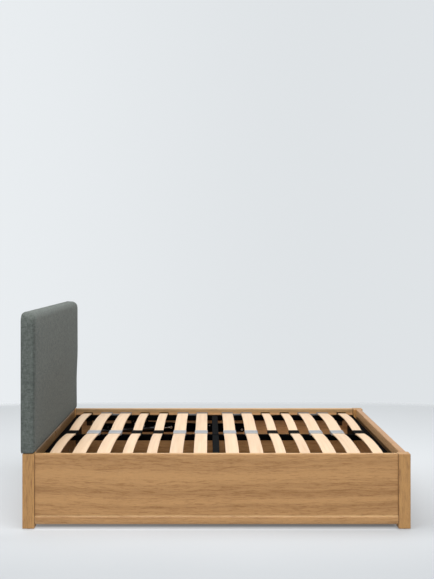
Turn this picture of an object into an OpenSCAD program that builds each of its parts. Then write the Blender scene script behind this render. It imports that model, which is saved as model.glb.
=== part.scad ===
// Storage bed with an upholstered headboard and a slatted platform that lifts at its foot end.
// +X points to the foot, +Y to the left of someone lying in the bed, +Z up.
// The origin is on the floor, under the middle of the whole bed. Millimetres.

/* [Mattress space] */
// Length of the mattress
mattress_l = 2000; // [1880:10:2100]
// Width of the mattress
mattress_w = 1500; // [1340:10:1600]
// Spare length between the headboard and the foot panel
end_play = 7; // [5:1:30]
// Spare width on each side of the mattress
side_play = 5; // [3:1:15]

/* [Oak frame] */
// Side of the square corner posts
post_w = 65; // [58:1:80]
// Height of the posts and rails above the floor
rail_top = 410; // [390:5:480]
// Thickness of the side and head panels
board_t = 25; // [20:1:30]
// Thickness of the foot panel
foot_board_t = 35; // [25:1:45]
// How far the panels stand back from the posts' outer faces
reveal = 10; // [4:1:15]
// Radius of the rounded edges along the top of the boards
board_edge_r = 7; // [2:0.5:9]
// Radius of the posts' edges
post_edge_r = 3; // [1:0.5:6]
// Height of the plinth boards
plinth_h = 45; // [30:1:60]
// Gap between the plinth and the floor
plinth_gap = 25; // [15:1:40]
// How far the plinth stands back from the posts' outer faces
plinth_recess = 2; // [0.5:0.5:6]
// Size of the cut corners at the plinth's lower ends
plinth_chamfer = 6; // [2:1:12]
// Easing of the plinth's long outer edges
plinth_edge = 7; // [1:0.5:8]
// Thickness of the glides under the posts
glide_t = 4; // [2:1:8]

/* [Headboard] */
// Thickness of the padded headboard
pad_t = 75; // [70:1:95]
// Height of the headboard's top above the floor
pad_top = 1180; // [950:10:1400]
// How far the headboard is wider than the posts, on each side
pad_overhang = 5; // [1:1:20]
// Radius of the pad's upper corners, seen from the front
pad_corner_r = 40; // [20:1:60]
// Radius of the pad's lower corners, seen from the front
pad_foot_r = 12; // [6:1:30]
// Radius of the padding round the front edges
pad_front_r = 12; // [8:1:32]
// Radius of the padding round the back edges
pad_back_r = 7; // [4:1:14]
// How far the middle of the front stands proud of its edges
pad_crown = 2; // [2:1:10]
// Thickness of the headboard's inner board
core_t = 18; // [12:1:20]
// Margin of padding round the inner board
core_margin = 22; // [12:1:40]
// Thickness of the cloth-covered back sheet
back_t = 1.5; // [1:0.5:2.5]
// Width of the headboard's legs
leg_w = 60; // [40:5:90]
// Thickness of the headboard's legs
leg_t = 25; // [18:1:26]
// Distance of each leg from the middle of the bed
leg_y = 450; // [300:10:550]
// Height of the legs' lower ends
leg_z0 = 130; // [100:5:200]
// Length of the legs inside the headboard
leg_in = 480; // [300:10:500]

/* [Storage base] */
// Height of the battens that carry the floor
ledge_h = 25; // [18:1:30]
// Thickness of the battens that carry the floor
ledge_t = 25; // [18:1:35]
// Height of the battens' underside above the floor
ledge_z = 40; // [30:1:60]
// Thickness of the base boards
floor_t = 9; // [6:1:15]
// Number of base boards
floor_boards_n = 4; // [3:1:6]
// Distance of the platform's rests from the headboard and from the foot posts
rest_in = 97; // [80:1:140]
// Width of the middle beam under the base boards
beam_w = 45; // [35:5:70]
// Gap round the base boards
floor_gap = 2; // [1:0.5:4]

/* [Platform] */
// Side of the square steel tubes
tube = 35; // [25:1:40]
// Wall of the steel tubes
tube_wall = 1.5; // [1:0.1:2.5]
// Height of the tubes' underside above the floor
tube_z = 332; // [330:1:345]
// Gap between the platform and the side panels
platform_side_gap = 10; // [8:1:14]
// Gap between the platform and the headboard
platform_head_gap = 6; // [5:1:20]
// Gap between the platform and the foot posts
platform_foot_gap = 4; // [3:1:20]
// Width of the cross bars along the bed
cross_w = 40; // [30:1:60]
// Thickness of the plugs in the ends of the side tubes
plug_t = 2; // [1:0.5:4]

/* [Slats] */
// Thickness of a slat
slat_t = 8; // [6:0.5:10]
// Width of a narrow slat
narrow_w = 58; // [50:1:70]
// Width of a wide slat
wide_w = 75; // [70:1:95]
// Rise of a slat's middle over its ends
slat_bow = 18; // [10:1:26]
// Distance between neighbouring rows of slats, before they are spread evenly
row_pitch = 136; // [115:0.5:160]
// Distance of the first row from the middle of the platform
first_row = 90; // [70:1:92]
// Distance of the last row from the platform's end
end_row_in = 82.5; // [68:0.5:95]
// Height of the slats' top at their ends, above the tubes
slat_seat = 13; // [12:0.5:24]
// Distance of a slat's inner end from the middle of the bed
slat_inner = 27; // [20:1:35]
// How far a slat's outer end stays inside the platform's outer face
slat_outer_in = 7; // [4:1:12]
// Length of an outer cap across the side tube
end_cap_l = 34; // [28:1:45]
// Length of a middle cap on each side of the middle of the bed
centre_cap_l = 48; // [40:1:60]
// Thickness of the caps' walls
cap_wall = 3; // [2:0.5:4]

/* [Lift] */
// Distance of the rear base pivot from the headboard
rear_base_x = 958; // [900:1:1000]
// Height of the rear base pivot
rear_base_z = 288; // [284:1:292]
// Distance of the front base pivot from the headboard
front_base_x = 1190; // [1150:1:1240]
// Height of the front base pivot
front_base_z = 262; // [258:1:266]
// Distance of the rear platform pivot from the headboard
rear_top_x = 428; // [410:1:440]
// Height of the rear platform pivot
rear_top_z = 305; // [300:1:308]
// Distance of the front platform pivot from the headboard
front_top_x = 488; // [478:1:500]
// Height of the front platform pivot
front_top_z = 291; // [288:1:294]
// Distance of the strut's base stud from the headboard
strut_base_x = 164; // [150:1:240]
// Height of the strut's base stud
strut_base_z = 258; // [255:1:266]
// Radius of the pivot pins
pin_r = 5; // [4:0.5:6]
// Running clearance of the pivots on the radius
pin_clear = 0.05; // [0.02:0.01:0.1]
// Clearance on the radius at the open pivot of the front arm
open_clear = 2.5; // [2.2:0.1:3]
// Width of the arms
arm_w = 30; // [26:1:34]
// Thickness of the arms
arm_t = 5; // [4:0.5:5.5]
// Thickness of the base rail
rail_t = 4; // [3:0.5:5]
// Height of the base rail
rail_h = 62; // [58:1:66]
// Gap between neighbouring layers of the lift
layer_gap = 1; // [0.8:0.1:1.2]
// Radius of the strut's cylinder
strut_r = 11; // [9:0.5:12]
// Bore of the strut's cylinder, as a radius
strut_bore_r = 9.25; // [7.5:0.25:10]
// Length of the strut's cylinder
strut_body_l = 450; // [420:1:480]
// Length of rod that shows between the closed strut's cylinder and its eye
rod_show_l = 42.6; // [30:0.1:70]

/* [Hidden] */
$fn = 48;

oak = [0.69, 0.54, 0.36];
oak_post = [0.67, 0.52, 0.34];
beech = [0.95, 0.85, 0.71];
pine = [0.82, 0.68, 0.48];
tweed = [0.41, 0.43, 0.40];
black_steel = [0.09, 0.09, 0.10];
zinc = [0.70, 0.71, 0.73];
black_plastic = [0.06, 0.06, 0.06];
grey_plastic = [0.80, 0.82, 0.84];
hardboard = [0.55, 0.43, 0.30];
black_cloth = [0.12, 0.12, 0.12];

// Lengths of the bed, from the pad's back to the foot posts' outer faces
inner_l = mattress_l + end_play;
overall_l = pad_t + inner_l + foot_board_t + reveal;
head_x = pad_t - overall_l / 2;
foot_x = head_x + inner_l;
end_x = overall_l / 2;
back_x = -overall_l / 2;
foot_post_x = end_x - post_w;
side_l = foot_post_x - head_x;

// Widths of the bed
inner_y = mattress_w / 2 + side_play;
outer_y = inner_y + board_t + reveal;
post_in_y = outer_y - post_w;
pad_y = outer_y + pad_overhang;

// Layers from the pad's back to the head panel's inner face
core_x = back_x + back_t;
leg_x = core_x + core_t;
head_panel_x = leg_x + leg_t;
pad_h = pad_top - rail_top;
rim_t = pad_t - pad_crown;
top_round = max(pad_corner_r, pad_front_r + 2);
foot_round = max(pad_foot_r, pad_front_r + 2);
core_h = pad_h - core_margin;
panel_z = plinth_gap + plinth_h;
floor_z = ledge_z + ledge_h;
seat_clear = 0.3;

// Platform
plat_y = inner_y - platform_side_gap;
plat_x0 = head_x + platform_head_gap;
plat_x1 = foot_post_x - platform_foot_gap;
plat_mid = (plat_x0 + plat_x1) / 2;
tube_top = tube_z + tube;
tube_in_y = plat_y - tube;
plug_clear = 0.1;
plug_in = 15;

// Rows of slats on each side of the platform's middle, counted outwards: two wide, two narrow, and so on
rows_l = (plat_x1 - plat_x0) / 2 - first_row - end_row_in;
rows_n = round(rows_l / row_pitch);
row_step = rows_l / rows_n;
wide_rows = [for (k = [0 : rows_n]) if (k % 4 < 2) k];
narrow_rows = [for (k = [0 : rows_n]) if (k % 4 >= 2) k];
twin_rows = [for (k = [0 : rows_n - 1]) if (k % 4 == 0) k];
slat_y0 = slat_inner;
slat_y1 = plat_y - slat_outer_in;
slat_chord = slat_y1 - slat_y0;
slat_r = slat_chord * slat_chord / (8 * slat_bow) + slat_bow / 2;
slat_end_z = tube_top + slat_seat;
cap_top = slat_end_z + slat_bow / slat_chord * 4 * end_cap_l / 2 + cap_wall + 1;
cap_foot = 2;
cap_edge_r = 2;
twin_wall = 3;

// Layers of the lift, measured inwards from the side panel's inner face
rear_layer = rail_t + layer_gap;
front_layer = rear_layer + arm_t + layer_gap;
bracket_layer = front_layer + arm_t + layer_gap;
bracket_t = 5;
strut_layer = bracket_layer + bracket_t + 3 + strut_r;
rail_head_in = 26;
rail_foot_in = 19;
rail_under = 15;
rail_x0 = strut_base_x - rail_head_in;
rail_x1 = front_base_x + rail_foot_in;
rail_z = strut_base_z - rail_under;
rail_corner_r = 12;
rail_bolt_x = [90, 190];
collar_r = pin_r + 3;
head_t = 2;
bracket_flange_t = 3;
bracket_reach = 30;
bracket_corner_r = 13;
eye_r = pin_r + 5;
eye_t = 12;
neck_r = 5;
rod_r = 5;
rod_gland = 10;
strut_neck_l = 18;
piston_l = 12;
piston_travel = 146;
piston_x = strut_neck_l + strut_body_l - rod_gland - piston_l - piston_travel;
stud_gap = 0.4;

// The strut ends where its closed length meets the front arm's line, at arm_out from that arm's base pivot
strut_l = strut_neck_l + strut_body_l + rod_show_l + eye_r;
front_arm_slope = atan2(front_top_z - front_base_z, front_base_x - front_top_x);
base_dx = front_base_x - strut_base_x;
base_dz = front_base_z - strut_base_z;
arm_to_base = base_dx * cos(front_arm_slope) - base_dz * sin(front_arm_slope);
off_arm = base_dx * sin(front_arm_slope) + base_dz * cos(front_arm_slope);
arm_out = arm_to_base - sqrt(strut_l * strut_l - off_arm * off_arm);
strut_dx = base_dx - arm_out * cos(front_arm_slope);
strut_dz = base_dz + arm_out * sin(front_arm_slope);
strut_slope = atan2(strut_dz, strut_dx);

// Small hardware
bolt_r = 8;
bolt_h = 4;
washer_r = 10;
washer_t = 1;
leg_bolt_up = 45;
leg_bolt_down = 105;
block_w = 180;
block_t = 6;
block_h = 104;
block_below = 6;
corner_leg = 28;
corner_long = 40;
corner_t = 3;
corner_z = [130, 290];
corner_bolt_x = 24;
corner_bolt_in = 30;
rest_x = [rest_in, side_l - rest_in];
rest_w = 40;
rest_leg = 36;
rest_drop = 35;
rest_t = 3;
buffer_r = 12;
buffer_t = 5;
beam_foot_r = 20;
beam_flange_t = 6;
beam_foot_n = 3;
screw_r = 5;

module both_sides() {
    children();
    mirror([0, 1, 0]) children();
}

// Board section with both upper edges rounded, thickness along x and height along y
module board_section(t, h, r) {
    square([t, h - r]);
    translate([r, 0]) square([t - 2 * r, h]);
    for (x = [r, t - r]) translate([x, h - r]) circle(r);
}

// Board that runs along X, with its thickness along +Y
module board_along_x(l, t, h, r) {
    rotate([90, 0, 90]) linear_extrude(l) board_section(t, h, r);
}

// Board that runs along Y about the middle of the bed, with its thickness along +X
module board_along_y(l, t, h, r) {
    translate([0, l / 2, 0]) rotate([90, 0, 0]) linear_extrude(l) board_section(t, h, r);
}

// Rectangle with four round corners, from its lower left corner
module round_rect(w, h, r) {
    translate([r, 0]) square([w - 2 * r, h]);
    translate([0, r]) square([w, h - 2 * r]);
    for (x = [r, w - r]) for (y = [r, h - r]) translate([x, y]) circle(r);
}

// Square post with rounded edges all the way up and round its top
module post(w, h, r) {
    intersection() {
        linear_extrude(h) round_rect(w, w, r);
        rotate([90, 0, 90]) linear_extrude(w) board_section(w, h, r);
        translate([0, w, 0]) rotate([90, 0, 0]) linear_extrude(w) board_section(w, h, r);
    }
}

// Cylinder across the bed: x from the headboard, z, and where it starts and ends inside the side panel
module across(x, z, from, to, r) {
    translate([head_x + x, inner_y - from, z]) rotate([90, 0, 0]) cylinder(h = to - from, r = r);
}

// Turned corner of the pad about the middle of its rounding, back face at the pad's back
module pad_corner(y, z, r) {
    translate([back_x, y, z]) rotate([0, 90, 0]) rotate_extrude($fn = 32) polygon(concat(
        [[0, 0]],
        [for (a = [0 : 22.5 : 90]) [r - pad_back_r + pad_back_r * sin(a), pad_back_r - pad_back_r * cos(a)]],
        [for (a = [0 : 15 : 90]) [r - pad_front_r + pad_front_r * cos(a), rim_t - pad_front_r + pad_front_r * sin(a)]],
        [[0, rim_t]]));
}

// Upholstered slab with soft edges and a crowned front
module pad_body() {
    hull() {
        for (side = [-1, 1]) {
            pad_corner(side * (pad_y - top_round), pad_top - top_round, top_round);
            pad_corner(side * (pad_y - foot_round), rail_top + foot_round, foot_round);
        }
        translate([head_x - pad_crown, -pad_y / 2, rail_top + pad_h / 3])
            cube([pad_crown, pad_y, pad_h / 3]);
    }
}

module headboard_pad() {
    color(tweed) difference() {
        pad_body();
        translate([back_x - 1, -core_y() - seat_clear, rail_top - 1])
            cube([back_t + core_t + 1 + seat_clear, 2 * (core_y() + seat_clear), core_h + 1 + seat_clear]);
        both_sides() translate([back_x, leg_y - leg_w / 2 - seat_clear, rail_top - 1])
            cube([back_t + core_t + leg_t + seat_clear, leg_w + 2 * seat_clear, leg_in + 1 + seat_clear]);
    }
}

function core_y() = pad_y - core_margin;

module headboard_board() {
    color(hardboard) translate([core_x, -core_y(), rail_top]) cube([core_t, 2 * core_y(), core_h]);
}

module headboard_back_cover() {
    color(black_cloth) translate([back_x, -core_y(), rail_top]) cube([back_t, 2 * core_y(), core_h]);
}

// Timber legs that hold the headboard and are bolted to the head panel's back
module headboard_legs() {
    leg_l = rail_top + leg_in - leg_z0;
    color(pine) both_sides() translate([leg_x, leg_y + leg_w / 2, leg_z0])
        rotate([0, 0, -90]) linear_extrude(leg_l) round_rect(leg_w, leg_t, 2);
}

// Round-headed bolt with a washer, along -X from its seat
module wall_bolt() {
    rotate([0, 90, 0]) cylinder(h = washer_t, r = washer_r);
    rotate([0, 90, 0]) cylinder(h = bolt_h, r = bolt_r);
}

module headboard_bolts() {
    color(zinc) both_sides() for (z = [leg_z0 + leg_bolt_up, rail_top - leg_bolt_down])
        translate([head_panel_x + board_t, leg_y, z]) wall_bolt();
}

module corner_post(x) {
    color(oak_post) translate([x, post_in_y, glide_t]) post(post_w, rail_top - glide_t, post_edge_r);
}

module head_post_left() {
    corner_post(head_x - post_w);
}

module head_post_right() {
    mirror([0, 1, 0]) head_post_left();
}

module foot_post_left() {
    corner_post(foot_post_x);
}

module foot_post_right() {
    mirror([0, 1, 0]) foot_post_left();
}

// Head panel with a flat joint block in the middle of its inner face
module head_panel() {
    color(oak) union() {
        translate([head_panel_x, 0, plinth_gap])
            board_along_y(2 * post_in_y, board_t, rail_top - plinth_gap, board_edge_r);
        translate([head_panel_x + board_t - 1, -block_w / 2, rail_top - block_below - block_h])
            cube([block_t + 1, block_w, block_h]);
    }
}

module side_panel_left() {
    color(oak) translate([head_x, inner_y, panel_z])
        board_along_x(side_l, board_t, rail_top - panel_z, board_edge_r);
}

module side_panel_right() {
    mirror([0, 1, 0]) side_panel_left();
}

// Plinth outline along the bed, with its lower ends cut off
module plinth_outline(l, ease) {
    cut_z = max(plinth_chamfer, ease);
    polygon([[0, cut_z], [plinth_chamfer, ease], [l - plinth_chamfer, ease], [l, cut_z],
        [l, plinth_h - ease], [0, plinth_h - ease]]);
}

// Plinth board along X, with its outer face at z = 0 and both long outer edges eased
module plinth_board(l, t) {
    hull() {
        translate([0, 0, plinth_edge]) linear_extrude(t - plinth_edge) plinth_outline(l, 0);
        linear_extrude(t) plinth_outline(l, plinth_edge);
    }
}

module side_plinth_left() {
    color(oak) translate([head_x, outer_y - plinth_recess, plinth_gap])
        rotate([90, 0, 0]) plinth_board(side_l, board_t + reveal - plinth_recess);
}

module side_plinth_right() {
    mirror([0, 1, 0]) side_plinth_left();
}

module foot_panel() {
    color(oak) translate([foot_x, 0, panel_z])
        board_along_y(2 * post_in_y, foot_board_t, rail_top - panel_z, board_edge_r);
}

module foot_plinth() {
    foot_plinth_t = foot_board_t + reveal - plinth_recess;
    color(oak) translate([foot_x + foot_plinth_t, -post_in_y, plinth_gap])
        mirror([1, 0, 0]) rotate([90, 0, 90]) plinth_board(2 * post_in_y, foot_plinth_t);
}

module side_ledges() {
    color(pine) both_sides() translate([head_x, inner_y - ledge_t, ledge_z]) cube([side_l, ledge_t, ledge_h]);
}

module end_ledges() {
    color(pine) for (x = [head_panel_x + board_t, foot_x - ledge_t])
        translate([x, -post_in_y, ledge_z]) cube([ledge_t, 2 * post_in_y, ledge_h]);
}

// Base boards side by side along the bed; the outer two also fill in between the posts
module floor_boards() {
    board_l = side_l / floor_boards_n;
    color(hardboard) for (i = [0 : floor_boards_n - 1]) {
        translate([head_x + i * board_l + floor_gap / 2, -inner_y + floor_gap, floor_z])
            cube([board_l - floor_gap, 2 * (inner_y - floor_gap), floor_t]);
        if (i == 0) {
            translate([head_panel_x + board_t + floor_gap, -post_in_y + floor_gap, floor_z])
                cube([head_x - head_panel_x - board_t, 2 * (post_in_y - floor_gap), floor_t]);
        }
        if (i == floor_boards_n - 1) {
            translate([foot_post_x - floor_gap, -post_in_y + floor_gap, floor_z])
                cube([foot_x - foot_post_x, 2 * (post_in_y - floor_gap), floor_t]);
        }
    }
}

module floor_beam() {
    beam_x0 = head_panel_x + board_t + ledge_t;
    color(pine) translate([beam_x0, -beam_w / 2, ledge_z]) cube([foot_x - ledge_t - beam_x0, beam_w, ledge_h]);
}

module beam_feet() {
    color(black_plastic) for (i = [1 : beam_foot_n])
        translate([head_x + inner_l * i / (beam_foot_n + 1), 0, 0]) {
            cylinder(h = beam_flange_t, r = beam_foot_r);
            cylinder(h = ledge_z, r = beam_foot_r * 0.6);
        }
}

module post_glides() {
    color(black_plastic) both_sides() for (x = [head_x - post_w / 2, end_x - post_w / 2])
        translate([x, outer_y - post_w / 2, 0]) cylinder(h = glide_t, r = post_w * 0.35);
}

// Steel angle in the corner between a side panel and a post
module corner_angle(x, turn) {
    translate([x, inner_y, corner_z[0]]) mirror([turn, 0, 0]) {
        translate([0, -corner_t, 0]) cube([corner_long, corner_t, corner_z[1] - corner_z[0]]);
        translate([0, -corner_leg, 0]) cube([corner_t, corner_leg, corner_z[1] - corner_z[0]]);
    }
}

module corner_brackets() {
    color(black_steel) both_sides() {
        corner_angle(head_x, 0);
        corner_angle(foot_post_x, 1);
    }
}

// Bolt heads on the panel side of the corner angles
module corner_bolts() {
    color(zinc) both_sides() for (x = [head_x + corner_bolt_x, foot_post_x - corner_bolt_x])
        for (z = [corner_z[0] + corner_bolt_in, corner_z[1] - corner_bolt_in]) translate([x, inner_y - corner_t, z]) rotate([90, 0, 0]) cylinder(h = bolt_h, r = bolt_r, $fn = 6);
}

module rest_brackets() {
    color(black_steel) both_sides() for (x = rest_x)
        translate([head_x + x - rest_w / 2, inner_y - rest_leg, tube_z - buffer_t - rest_t]) {
            cube([rest_w, rest_leg, rest_t]);
            translate([0, rest_leg - rest_t, -rest_drop]) cube([rest_w, rest_t, rest_drop]);
        }
}

module rest_buffers() {
    color(black_plastic) both_sides() for (x = rest_x)
        translate([head_x + x, plat_y - tube / 2, tube_z - buffer_t]) cylinder(h = buffer_t - seat_clear, r = buffer_r);
}

module base_rail_left() {
    color(black_steel) translate([head_x + rail_x0, inner_y, rail_z]) rotate([90, 0, 0])
        linear_extrude(rail_t) round_rect(rail_x1 - rail_x0, rail_h, rail_corner_r);
}

module base_rail_right() {
    mirror([0, 1, 0]) base_rail_left();
}

module base_rail_bolts() {
    color(zinc) both_sides() for (x = rail_bolt_x)
        across(rail_x0 + x, rail_z + rail_h / 2, rail_t, rail_t + bolt_h, bolt_r);
}

// Pins on the base rail: the rear arm's is flush, the front arm's has a collar and a head
module base_pivot_pins() {
    color(zinc) both_sides() {
        across(rear_base_x, rear_base_z, rail_t, rear_layer + arm_t + 0.3, pin_r);
        across(front_base_x, front_base_z, rail_t, front_layer - 0.5, collar_r);
        across(front_base_x, front_base_z, rail_t, front_layer + arm_t + 0.4, pin_r);
        across(front_base_x, front_base_z, front_layer + arm_t + 0.4, front_layer + arm_t + 0.4 + head_t, collar_r);
    }
}

module strut_base_studs() {
    eye_in = strut_layer - eye_t / 2;
    color(zinc) both_sides() {
        across(strut_base_x, strut_base_z, rail_t, eye_in - 0.5, collar_r);
        across(strut_base_x, strut_base_z, rail_t, eye_in + eye_t + 0.4, pin_r);
        across(strut_base_x, strut_base_z, eye_in + eye_t + 0.4, eye_in + eye_t + 0.4 + head_t, collar_r);
    }
}

// Flat arm with round ends, from its base pivot towards the headboard, at its layer
module arm(x0, z0, x1, z1, layer, top_bore_r) {
    arm_l = sqrt(pow(x0 - x1, 2) + pow(z1 - z0, 2));
    slope = atan2(z1 - z0, x0 - x1);
    translate([head_x + x0, inner_y - layer, z0]) rotate([0, slope, 0]) rotate([90, 0, 0])
        linear_extrude(arm_t) difference() {
            union() {
                translate([-arm_l, -arm_w / 2]) square([arm_l, arm_w]);
                circle(arm_w / 2);
                translate([-arm_l, 0]) circle(arm_w / 2);
            }
            circle(pin_r + pin_clear);
            translate([-arm_l, 0]) circle(top_bore_r);
        }
}

module rear_arm_left() {
    color(black_steel) arm(rear_base_x, rear_base_z, rear_top_x, rear_top_z, rear_layer, pin_r + pin_clear);
}

module rear_arm_right() {
    mirror([0, 1, 0]) rear_arm_left();
}

module front_arm_left() {
    color(black_steel) arm(front_base_x, front_base_z, front_top_x, front_top_z, front_layer, pin_r + open_clear);
}

module front_arm_right() {
    mirror([0, 1, 0]) front_arm_left();
}

// Places what is drawn along +X on the strut's line
module on_strut() {
    translate([head_x + strut_base_x, inner_y - strut_layer, strut_base_z]) rotate([0, -strut_slope, 0]) children();
}

module strut_cylinder_left() {
    color(black_steel) on_strut() {
        difference() {
            union() {
                rotate([90, 0, 0]) cylinder(h = eye_t, r = eye_r, center = true);
                rotate([0, 90, 0]) cylinder(h = strut_neck_l + 1, r = neck_r);
                translate([strut_neck_l, 0, 0]) rotate([0, 90, 0]) cylinder(h = strut_body_l, r = strut_r);
            }
            rotate([90, 0, 0]) cylinder(h = eye_t + 2, r = pin_r + pin_clear, center = true);
            translate([strut_neck_l + rod_gland, 0, 0]) rotate([0, 90, 0])
                cylinder(h = strut_body_l - 2 * rod_gland, r = strut_bore_r);
            translate([strut_neck_l + rod_gland, 0, 0]) rotate([0, 90, 0])
                cylinder(h = strut_body_l, r = rod_r + pin_clear);
        }
    }
}

module strut_cylinder_right() {
    mirror([0, 1, 0]) strut_cylinder_left();
}

// Rod with its piston, and at its end an eye with a stud that stops just short of the front arm
module strut_rod_left() {
    stud_l = strut_layer - front_layer - arm_t - stud_gap;
    color(zinc) on_strut() {
        translate([piston_x, 0, 0]) rotate([0, 90, 0]) cylinder(h = strut_l - piston_x - eye_r + 1, r = rod_r);
        translate([piston_x, 0, 0]) rotate([0, 90, 0]) cylinder(h = piston_l, r = strut_bore_r - 0.1);
        translate([strut_l, 0, 0]) rotate([90, 0, 0]) cylinder(h = eye_t, r = eye_r, center = true);
        translate([strut_l, 0, 0]) rotate([-90, 0, 0]) cylinder(h = stud_l, r = pin_r);
        translate([strut_l, 0, 0]) rotate([90, 0, 0]) cylinder(h = eye_t / 2 + head_t, r = pin_r + 2);
    }
}

module strut_rod_right() {
    mirror([0, 1, 0]) strut_rod_left();
}

// Tube with square section along X
module tube_x(x0, x1, y0, w) {
    difference() {
        translate([x0, y0, tube_z]) cube([x1 - x0, w, tube]);
        translate([x0 - 1, y0 + tube_wall, tube_z + tube_wall])
            cube([x1 - x0 + 2, w - 2 * tube_wall, tube - 2 * tube_wall]);
    }
}

// Tube with square section along Y
module tube_y(x0, w, y0, y1) {
    difference() {
        translate([x0, y0, tube_z]) cube([w, y1 - y0, tube]);
        translate([x0 + tube_wall, y0 - 1, tube_z + tube_wall])
            cube([w - 2 * tube_wall, y1 - y0 + 2, tube - 2 * tube_wall]);
    }
}

module side_tube_left() {
    color(black_steel) tube_x(plat_x0 + plug_t, plat_x1 - plug_t, tube_in_y, tube);
}

module side_tube_right() {
    mirror([0, 1, 0]) side_tube_left();
}

module head_tube() {
    color(black_steel) tube_y(plat_x0 + plug_t, tube, -tube_in_y, tube_in_y);
}

module foot_tube() {
    color(black_steel) tube_y(plat_x1 - plug_t - tube, tube, -tube_in_y, tube_in_y);
}

module centre_tube() {
    color(black_steel) tube_x(plat_x0 + plug_t + tube, plat_x1 - plug_t - tube, -tube / 2, tube);
}

module cross_bars() {
    color(black_steel) both_sides() tube_y(plat_mid - cross_w / 2, cross_w, tube / 2, tube_in_y);
}

// Plug with a flange on the tube's end and a body inside the tube
module tube_plugs() {
    body = tube - 2 * tube_wall - 2 * plug_clear;
    inset = tube_wall + plug_clear;
    color(black_plastic) both_sides() {
        translate([plat_x0, tube_in_y, tube_z]) cube([plug_t, tube, tube]);
        translate([plat_x0, tube_in_y + inset, tube_z + inset]) cube([plug_t + plug_in, body, body]);
        translate([plat_x1 - plug_t, tube_in_y, tube_z]) cube([plug_t, tube, tube]);
        translate([plat_x1 - plug_t - plug_in, tube_in_y + inset, tube_z + inset]) cube([plug_t + plug_in, body, body]);
    }
}

// Plate under the side tube that carries both platform pivots
module lift_bracket_left() {
    x0 = rear_top_x - bracket_reach;
    x1 = front_top_x + bracket_reach;
    z0 = front_top_z - bracket_corner_r - 3;
    color(black_steel) {
        translate([head_x + x0, inner_y - bracket_layer, z0]) rotate([90, 0, 0]) linear_extrude(bracket_t) {
            round_rect(x1 - x0, tube_z - z0, bracket_corner_r);
            translate([0, (tube_z - z0) / 2]) square([x1 - x0, (tube_z - z0) / 2]);
        }
        translate([head_x + x0, plat_y - tube, tube_z - bracket_flange_t]) cube([x1 - x0, tube, bracket_flange_t]);
    }
}

module lift_bracket_right() {
    mirror([0, 1, 0]) lift_bracket_left();
}

// Pins from the brackets out to the arms, with a nut on the inner side of each
module platform_pivot_pins() {
    inner_face = bracket_layer + bracket_t;
    color(zinc) both_sides() {
        across(rear_top_x, rear_top_z, front_layer - layer_gap + 0.3, bracket_layer, collar_r);
        across(rear_top_x, rear_top_z, rear_layer - 0.4, bracket_layer, pin_r);
        across(front_top_x, front_top_z, front_layer - 0.4, bracket_layer, pin_r);
        for (p = [[rear_top_x, rear_top_z], [front_top_x, front_top_z]])
            translate([head_x + p[0], inner_y - inner_face, p[1]]) rotate([90, 0, 0])
                cylinder(h = bolt_h + 1, r = pin_r + 4, $fn = 6);
    }
}

module lift_bracket_bolts() {
    y = inner_y - bracket_layer - bracket_t - 9;
    color(zinc) both_sides() for (x = [rear_top_x - bracket_reach + 15, front_top_x + bracket_reach - 15])
        translate([head_x + x, y, tube_z - bracket_flange_t - bolt_h]) cylinder(h = bolt_h, r = screw_r + 1, $fn = 6);
}

// Height of the centre of a slat's upper arc
slat_cz = slat_end_z + slat_bow - slat_r;

// Bowed band of a half slat, y along x and z along y, grown by clear all round
module slat_band(clear) {
    intersection() {
        difference() {
            translate([(slat_y0 + slat_y1) / 2, slat_cz]) circle(slat_r + clear, $fn = 720);
            translate([(slat_y0 + slat_y1) / 2, slat_cz]) circle(slat_r - slat_t - clear, $fn = 720);
        }
        translate([slat_y0 - clear, slat_end_z - slat_t - 10]) square([slat_chord + 2 * clear, slat_bow + slat_t + 20]);
    }
}

function row_x(k) = first_row + k * row_step;

// Half slats of one width at their rows, on both sides of the middle of the platform and of the bed
module slats(rows, w) {
    both_sides() for (k = rows) for (side = [-1, 1])
        translate([plat_mid + side * row_x(k) - w / 2, 0, 0]) rotate([90, 0, 90]) linear_extrude(w) slat_band(0);
}

module narrow_slats() {
    color(beech) slats(narrow_rows, narrow_w);
}

module wide_slats() {
    color(beech) slats(wide_rows, wide_w);
}

// Section of an outer cap, across the side tube
module end_cap_section() {
    translate([plat_y - end_cap_l, tube_top]) {
        square([end_cap_l, cap_top - tube_top - cap_edge_r]);
        translate([cap_edge_r, 0]) square([end_cap_l - 2 * cap_edge_r, cap_top - tube_top]);
        for (y = [cap_edge_r, end_cap_l - cap_edge_r]) translate([y, cap_top - tube_top - cap_edge_r]) circle(cap_edge_r);
    }
}

// Cap with slots for slats of one width at the given places along it
module end_cap(x, l, slots, w) {
    difference() {
        translate([x, 0, 0]) rotate([90, 0, 90]) linear_extrude(l) end_cap_section();
        for (s = slots) translate([s - w / 2 - seat_clear, 0, 0]) rotate([90, 0, 90])
            linear_extrude(w + 2 * seat_clear) slat_band(seat_clear);
    }
}

module narrow_end_caps() {
    color(black_plastic) both_sides() for (k = narrow_rows) for (side = [-1, 1])
        end_cap(plat_mid + side * row_x(k) - narrow_w / 2 - cap_wall, narrow_w + 2 * cap_wall,
            [plat_mid + side * row_x(k)], narrow_w);
}

// Twin caps that hold the outer ends of two neighbouring wide slats
module wide_end_caps() {
    l = row_step + wide_w + 2 * twin_wall;
    color(grey_plastic) both_sides() for (k = twin_rows) for (side = [-1, 1]) {
        mid = plat_mid + side * (row_x(k) + row_step / 2);
        end_cap(mid - l / 2, l, [mid - row_step / 2, mid + row_step / 2], wide_w);
    }
}

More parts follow.
